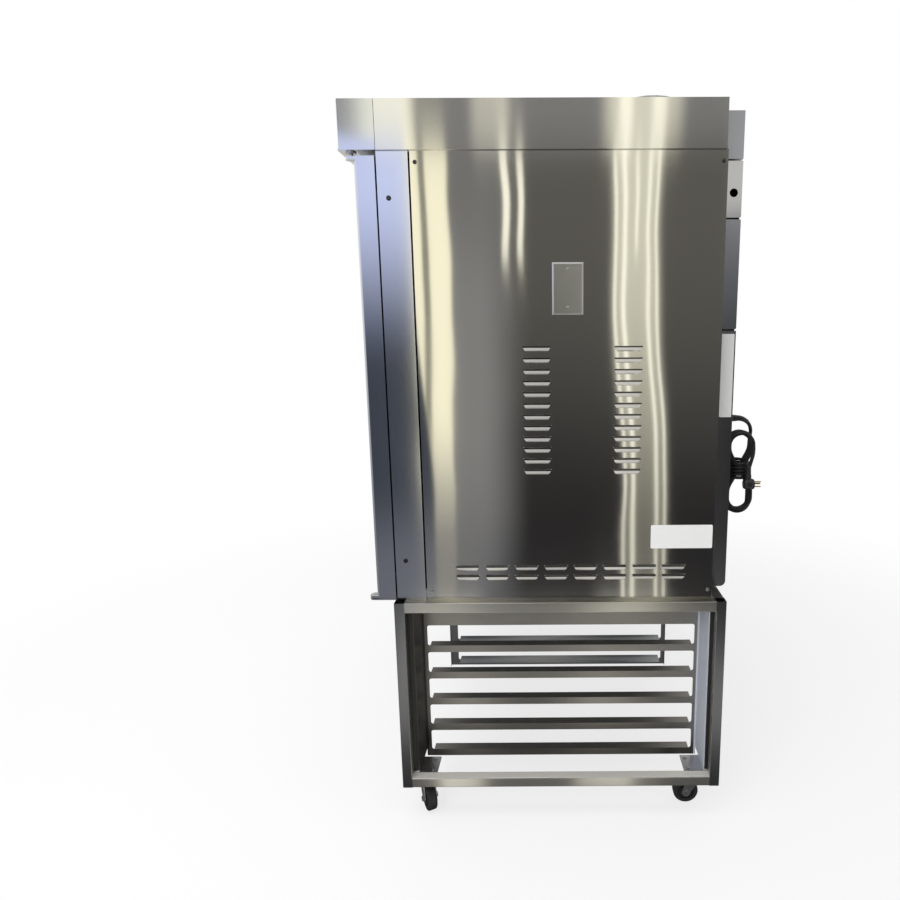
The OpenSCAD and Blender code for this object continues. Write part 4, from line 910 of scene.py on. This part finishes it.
def link_pattern(name, height, pin, pin_half):
    """Two waisted plates, height apart from the middle, on two pins or rollers."""
    half = CHAIN_PITCH / 2
    rim = []
    for side in (1, -1):
        for k in range(9):
            a = math.radians(-80 + 20 * k)
            rim.append((side * (half + LINK_END_R * math.cos(a)), side * LINK_END_R * math.sin(a)))
        rim.append((0.0, side * LINK_END_R * LINK_WAIST))
    parts = []
    for z in (height, -height):
        parts.append(skin([[Vector((x, y, z + s * LINK_THICK / 2)) for x, y in rim] for s in (-1, 1)]))
    u, v = Vector((1, 0, 0)), Vector((0, 1, 0))
    for x in (-half, half):
        ends = [Vector((x, 0, z)) for z in (-pin_half, pin_half)]
        parts.append(skin([ring_points(end, u, v, pin, 10) for end in ends]))
    return mesh_piece(name, *many(parts))


def add_chain():
    """Outer and inner links in turn round both sprockets."""
    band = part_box("drive_chain")
    centres = []
    for lo, hi in (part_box("carrier_shaft"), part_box("motor_sprocket")):
        centres.append(Vector(((lo.x + hi.x) / 2, (lo.y + hi.y) / 2, (band[0].z + band[1].z) / 2)))
    radii = [CHAIN_PITCH / 2 / math.sin(math.pi / n) for n in TEETH]
    gap = centres[1] - centres[0]
    toward = math.atan2(gap.y, gap.x)
    lean = math.acos((radii[0] - radii[1]) / gap.length)
    path = []
    for centre, radius, start, sweep, steps in (
        (centres[0], radii[0], toward + lean, 2 * math.pi - 2 * lean, 90),
        (centres[1], radii[1], toward - lean, 2 * lean, 30),
    ):
        for k in range(steps + 1):  # round the sprocket, from one tangent to the other
            a = start + sweep * k / steps
            path.append(centre + Vector((math.cos(a), math.sin(a), 0)) * radius)
    chain = line_of("chain_links", path, True)
    length = sum((b - a).length for a, b in zip(path, path[1:] + path[:1]))
    outer = link_pattern("outer_link", 0.0042, 0.0016, 0.0050)
    inner = link_pattern("inner_link", 0.0031, 0.0025, 0.0029)
    links = 2 * round(length / CHAIN_PITCH / 2)
    chain_of_links.grow(chain, Links=links, Outer=outer, Inner=inner, Material=finishes["chain"])
    drop(outer, inner)
    hand_over(chain)
    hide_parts("drive_chain")


add_chain()


# -------- power cord

CORD_R = 0.0045
STRAIGHT = 0.009  # out of the gland before the cord bends down
# The hank: radius of its folds, half the run between them, half its width where the tie
# holds it, its turns, and the step along x from one turn to the next
FOLD_R, HALF_RUN, WAIST, TURNS, STEP = 0.0296, 0.0735, 0.0120, 4, 0.0094
DRAWN = 0.83  # share of half a run over which the tie draws its legs together
# How far each turn's lower and upper folds are drawn in
UNEVEN = ((0.0, -0.003), (0.009, 0.0005), (0.003, -0.004), (0.012, -0.001))
# The tie: turns, steps in a turn, half its width and depth, rise in a turn, radius of its cord
WRAPS, WRAP_STEPS, WRAP_X, WRAP_Y, WRAP_RISE, WRAP_R = 5, 28, 0.0262, 0.0208, 0.0086, 0.0041
exit_at = Vector(((gland_lo.x + gland_hi.x) / 2, gland_hi.y, (gland_lo.z + gland_hi.z) / 2))
hank = exit_at + Vector((-0.008, 0.021, -0.142))
waist_z = hank.z + 0.012
exit_r = hank.y + FOLD_R - exit_at.y - STRAIGHT  # of the bend from the gland down to the hank


def ease(t):
    """0 below 0, 1 above 1, and without a kink between."""
    t = min(max(t, 0.0), 1.0)
    return t**3 * (10 - 15 * t + 6 * t * t)


def leg_offset(z):
    """How far a leg of the hank lies from its middle plane, drawn in by the tie."""
    return WAIST + (FOLD_R - WAIST) * ease(abs(z - waist_z) / (HALF_RUN * DRAWN))


def lead_course():
    """The cord's course in the y-z plane, and the index of the first turn."""
    out, bend, down, folds = 4, 20, 24, 28  # steps out, round the bend, along a run, round a fold
    course = [(exit_at.y + STRAIGHT * k / out, exit_at.z) for k in range(out)]
    for k in range(bend + 1):
        a = math.pi / 2 * k / bend
        y = exit_at.y + STRAIGHT + exit_r * math.sin(a)
        course.append((y, exit_at.z - exit_r * (1 - math.cos(a))))
    high = hank.z + HALF_RUN
    for k in range(1, out + 1):
        z = exit_at.z - exit_r + (high - exit_at.z + exit_r) * k / out
        course.append((hank.y + FOLD_R, z))
    start = len(course)
    for turn in range(TURNS):
        low = hank.z - HALF_RUN + UNEVEN[turn][0]
        before, high = high, hank.z + HALF_RUN - UNEVEN[turn][1]
        for side, near, far in ((1, before, low), (-1, low, high)):
            for k in range(1 if side > 0 else 0, down + 1):
                z = near + (far - near) * k / down
                course.append((hank.y + side * leg_offset(z), z))
            for k in range(1, folds):
                a = math.pi * k / folds
                y = hank.y + side * FOLD_R * math.cos(a)
                course.append((y, far - side * FOLD_R * math.sin(a)))
    course.append((hank.y + FOLD_R, high))
    return course, start


def lead_path():
    """The course in space: it eases over to the first turn, and steps along x with each turn."""
    course, start = lead_course()
    run = [0.0]
    for a, b in zip(course, course[1:]):
        run.append(run[-1] + math.dist(a, b))
    per_turn = (run[-1] - run[start]) / TURNS
    first = hank.x - exit_at.x - TURNS * STEP / 2
    over, hold = 0.115, 0.03  # lengths of cord that it eases over in, and before it first steps
    path = []
    for (y, z), r in zip(course, run):
        steps = max(0.0, r - run[start] - hold) / per_turn
        path.append(Vector((exit_at.x + first * ease(r / over) + STEP * steps, y, z)))
    return path


lead = lead_path()
tail = [lead[-1] + Vector(p) for p in (
    (0, 0, 0), (0.0035, -0.0005, -0.012), (0.0085, -0.0035, -0.026), (0.0135, -0.0095, -0.042),
    (0.0165, -0.0150, -0.060))]
lead = lead + smooth_line(tail, 5)[1:]
lead_length = sum((b - a).length for a, b in zip(lead, lead[1:]))

jacket = finishes["cord"]
power_lead = swept("power_lead", lead, CORD_R, jacket, 14)
hand_over(power_lead)
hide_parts("power_cord", "cord_hank")

wrap = []
for k in range(WRAPS * WRAP_STEPS + 1):
    a = 2 * math.pi * k / WRAP_STEPS
    z = waist_z - 0.021 + WRAP_RISE * k / WRAP_STEPS
    wrap.append((hank.x + WRAP_X * math.sin(a), hank.y - WRAP_Y * math.cos(a), z))
lead_tie = swept("lead_tie", wrap, WRAP_R, jacket, 12)
hand_over(lead_tie)


def add_relief():
    """Tapered sleeve with grooves where the cord leaves the gland."""
    line = lead[:14]
    end = len(line) - 1
    thick, taper, groove = 0.0088, 0.0034, 0.90
    radii = []
    for k in range(len(line)):
        radii.append((thick - taper * k / end) * (groove if k % 2 and k < end else 1.0))
    relief = tube_along("lead_relief", line, radii, 20)
    close_up(relief, finishes["black_plastic"], smooth=True)
    return relief


def add_plug():
    """Plug whose cord comes in from above: neck, body, two flat pins and an earth pin."""
    top = lead[-1]
    at = top + Vector((0, -0.012, -0.036))
    neck = turned("plug_neck", top + Vector((0, 0, 0.012)), (0, 0, -1), [
        (0, 0.0050), (0.002, 0.0058), (0.006, 0.0054), (0.009, 0.0064), (0.013, 0.0058),
        (0.016, 0.0068), (0.020, 0.0062), (0.024, 0.0072), (0.040, 0.0086), (0.046, 0.0086)], 24)
    body = turned("plug_body", at, (0, 1, 0), [
        (0, 0.008), (0.0008, 0.0108), (0.003, 0.0126), (0.008, 0.0134), (0.017, 0.0136),
        (0.0195, 0.0132), (0.020, 0.0122), (0.0215, 0.0122), (0.022, 0.0132), (0.0245, 0.0130),
        (0.026, 0.012)], 36)
    flat = []
    for z in (-0.0304, -0.0431):
        low, size = top + Vector((-0.0033, 0.013, z)), Vector((0.0066, 0.019, 0.0015))
        flat.append(block(low, low + size))
    pins = mesh_piece("plug_pins", *many(flat))
    earth = turned("plug_ground", at + Vector((-0.0075, 0.025, 0)), (0, 1, 0), [
        (0, 0.0024), (0.018, 0.0024), (0.0205, 0.0018), (0.021, 0.0008)], 16)
    for piece in (neck, body):
        close_up(piece, finishes["black_plastic"], smooth=True)
    for piece in (pins, earth):
        close_up(piece, finishes["brass"], bevel=0.0003)
    return [neck, body, pins, earth]


relief = add_relief()
plug_parts = add_plug()
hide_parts("cord_plug")


# -------- plates and strips

CLEAR = 0.0002  # clearance between a strip and what it closes
BEHIND = 0.005  # how far the stand's strips reach behind its posts


def rounded_plate(name, middle, half_u, half_v, u, thick, round_r):
    """A thin upright plate with round corners, its lower edge along u."""
    middle, u, v = Vector(middle), Vector(u), Vector((0, 0, 1))
    out = u.cross(v).normalized()
    steps = 6  # round a corner
    rim = []
    for corner, (su, sv) in enumerate(((1, 1), (-1, 1), (-1, -1), (1, -1))):
        centre = u * (su * (half_u - round_r)) + v * (sv * (half_v - round_r))
        for k in range(steps + 1):
            a = math.radians(90 * corner + 90 * k / steps)
            rim.append(middle + centre + u * (round_r * math.cos(a)) + v * (round_r * math.sin(a)))
    return mesh_piece(name, *skin([rim, [p + out * thick for p in rim]]))


def add_joint_strips():
    """Folded strips inside the two seams between the rear covers."""
    middle_lo, middle_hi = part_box("rear_cover_middle")
    upper_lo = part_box("rear_cover_upper")[0]
    inset, web, lip = 0.003, 0.0012, 0.0008
    near, back = panel_end + 0.001, cover_hi.y - inset
    half = cover_x - inset
    for name, below, above in (
        ("joint_strip_lower", cover_hi.z, middle_lo.z), ("joint_strip_upper", middle_hi.z, upper_lo.z),
    ):
        low, high = below + CLEAR, above - CLEAR
        outline = [
            (near, low), (back, low), (back, high), (near, high), (near, high - lip),
            (back - web, high - lip), (back - web, low + lip), (near, low + lip)]
        strip = mesh_piece(name, *skin([[(x, y, z) for y, z in outline] for x in (-half, half)]))
        close_up(strip, finishes["strip"])


def add_returns():
    """Narrow strips that close the slits between the slide panels' folds and the posts, near-black as
    painted shade inside the posts.
    """
    low, high = stand_lo.z + tube_w + 0.0036, stand_hi.z - tube_w - 0.0004
    outer = stand_lo.x - CLEAR
    inner = outer - 0.0013
    spans = (
        ("front", post_front - BEHIND, slide_lo.y - CLEAR),
        ("rear", slide_hi.y + CLEAR, post_rear + BEHIND),
    )
    for side, left, right in (("right", inner, outer), ("left", -outer, -inner)):
        for end, near, far in spans:
            strip = mesh_piece(f"return_{end}_{side}", *block((left, near, low), (right, far, high)))
            close_up(strip, finishes["return"])


# -------- control panel

PANEL_X = (bezel_lo.x + bezel_hi.x) / 2
FACE_Y = -0.4155  # the bezel's face, inside its raised rim
DISPLAY_Z, KNOB_Z = 1.444, 1.282
LENS = 0.0006  # thickness of the display's lens
PRINT = 0.0002  # thickness of printed and lit marks
LIT = {"0": "abcdef", "1": "bc", "2": "abged", "5": "afgcd", "8": "abcdefg"}  # segments of a digit
# The display's digits: text, left edge, lower edge and height, from its middle
READING = (
    ("180", -0.0235, 0.0020, 0.0220), ("25", -0.0230, -0.0215, 0.0150), ("00", 0.003, -0.0215, 0.0150))


def raised(name, outlines, face):
    """Flat marks over outlines in the x-z plane, towards -y."""
    depths = (face, face - PRINT)
    parts = [skin([[(x, y, z) for x, z in outline] for y in depths]) for outline in outlines]
    return mesh_piece(name, *many(parts))


def digit_outlines(digit, left, low, height):
    """The lit segments of one digit, as pointed bars."""
    width, half = height * 0.52, height * 0.055
    mid, high, right = low + height / 2, low + height, left + width
    ends = {
        "a": (left, high, right, high), "b": (right, high, right, mid), "c": (right, mid, right, low),
        "d": (left, low, right, low), "e": (left, mid, left, low), "f": (left, high, left, mid),
        "g": (left, mid, right, mid),
    }
    bars = []
    for key in LIT[digit]:
        p, q = Vector(ends[key][:2]), Vector(ends[key][2:])
        along = (q - p).normalized() * half
        side = Vector((-along.y, along.x))
        p, q = p + along * 0.35, q - along * 0.35
        bars.append([p, p + along + side, q - along + side, q, q - along - side, p + along - side])
    return bars


def add_display():
    """Dark lens with two rows of lit digits and a colon."""
    middle, half_w, half_h, corner = (PANEL_X, FACE_Y, DISPLAY_Z), 0.0537, 0.0327, 0.0028
    lens = rounded_plate("display_lens", middle, half_w, half_h, (1, 0, 0), LENS, corner)
    close_up(lens, finishes["lens"], "control_door")
    shapes = []
    for text, left, low, height in READING:
        for k, digit in enumerate(text):
            start = PANEL_X + left + k * height * 0.75
            shapes += digit_outlines(digit, start, DISPLAY_Z + low, height)
    dot = 0.0008  # half the width of the colon's dots
    for rise in (-0.0175, -0.0110):
        x, z = PANEL_X - dot, DISPLAY_Z + rise
        shapes.append([(x - dot, z - dot), (x + dot, z - dot), (x + dot, z + dot), (x - dot, z + dot)])
    digits = raised("display_digits", shapes, FACE_Y - LENS)
    close_up(digits, finishes["digits"], "control_door")


def add_knob_marks():
    """A scale over the knob's quarter turn, and the pointer on the knob."""
    middle = Vector((PANEL_X, KNOB_Z))
    ticks = []
    for k in range(7):
        a = math.radians(90 - 15 * k)
        half, end = (0.0007, 0.0235) if k % 6 else (0.0012, 0.0250)
        way, side = Vector((math.cos(a), math.sin(a))), Vector((-math.sin(a), math.cos(a))) * half
        near, far = middle + way * 0.0205, middle + way * end
        ticks.append([near - side, far - side, far + side, near + side])
    marks = raised("knob_scale", ticks, FACE_Y)
    close_up(marks, finishes["print"], "control_door")
    left, right, low, high = PANEL_X - 0.0007, PANEL_X + 0.0007, KNOB_Z + 0.004, KNOB_Z + 0.0135
    bar = [(left, low), (right, low), (right, high), (left, high)]
    pointer = raised("knob_pointer", [bar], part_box("power_knob")[0].y)
    close_up(pointer, finishes["print"], "knob")


def add_key_marks():
    """A triangle on the left key and a round dot on the right one."""
    size = 0.0055
    for key, body, corners, start in (("key_left", "left_key", 3, 90), ("key_right", "right_key", 24, 0)):
        lo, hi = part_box(key)
        x, z = (lo.x + hi.x) / 2, (lo.z + hi.z) / 2
        angles = [math.radians(start + 360 * k / corners) for k in range(corners)]
        shape = [(x + size * math.cos(a), z + size * math.sin(a)) for a in angles]
        mark = raised(key + "_mark", [shape], lo.y)
        close_up(mark, finishes["black_plastic"], body)


# Labels: name, middle, half width, half height and corner radius
LABELS = (
    ("blank_label_side", (side_x, 0.3275, 0.738), 0.074, 0.029, 0.003),
    ("blank_label_rear", (cover_x, 0.4405, 1.117), 0.0150, 0.100, 0.002),
)


def add_labels():
    """Blank white film where the oven has its labels."""
    film = 0.0003
    for name, middle, half_w, half_h, round_r in LABELS:
        label = rounded_plate(name, middle, half_w, half_h, (0, 1, 0), film, round_r)
        close_up(label, finishes["label"])


add_joint_strips()
add_returns()
add_display()
add_knob_marks()
add_key_marks()
add_labels()
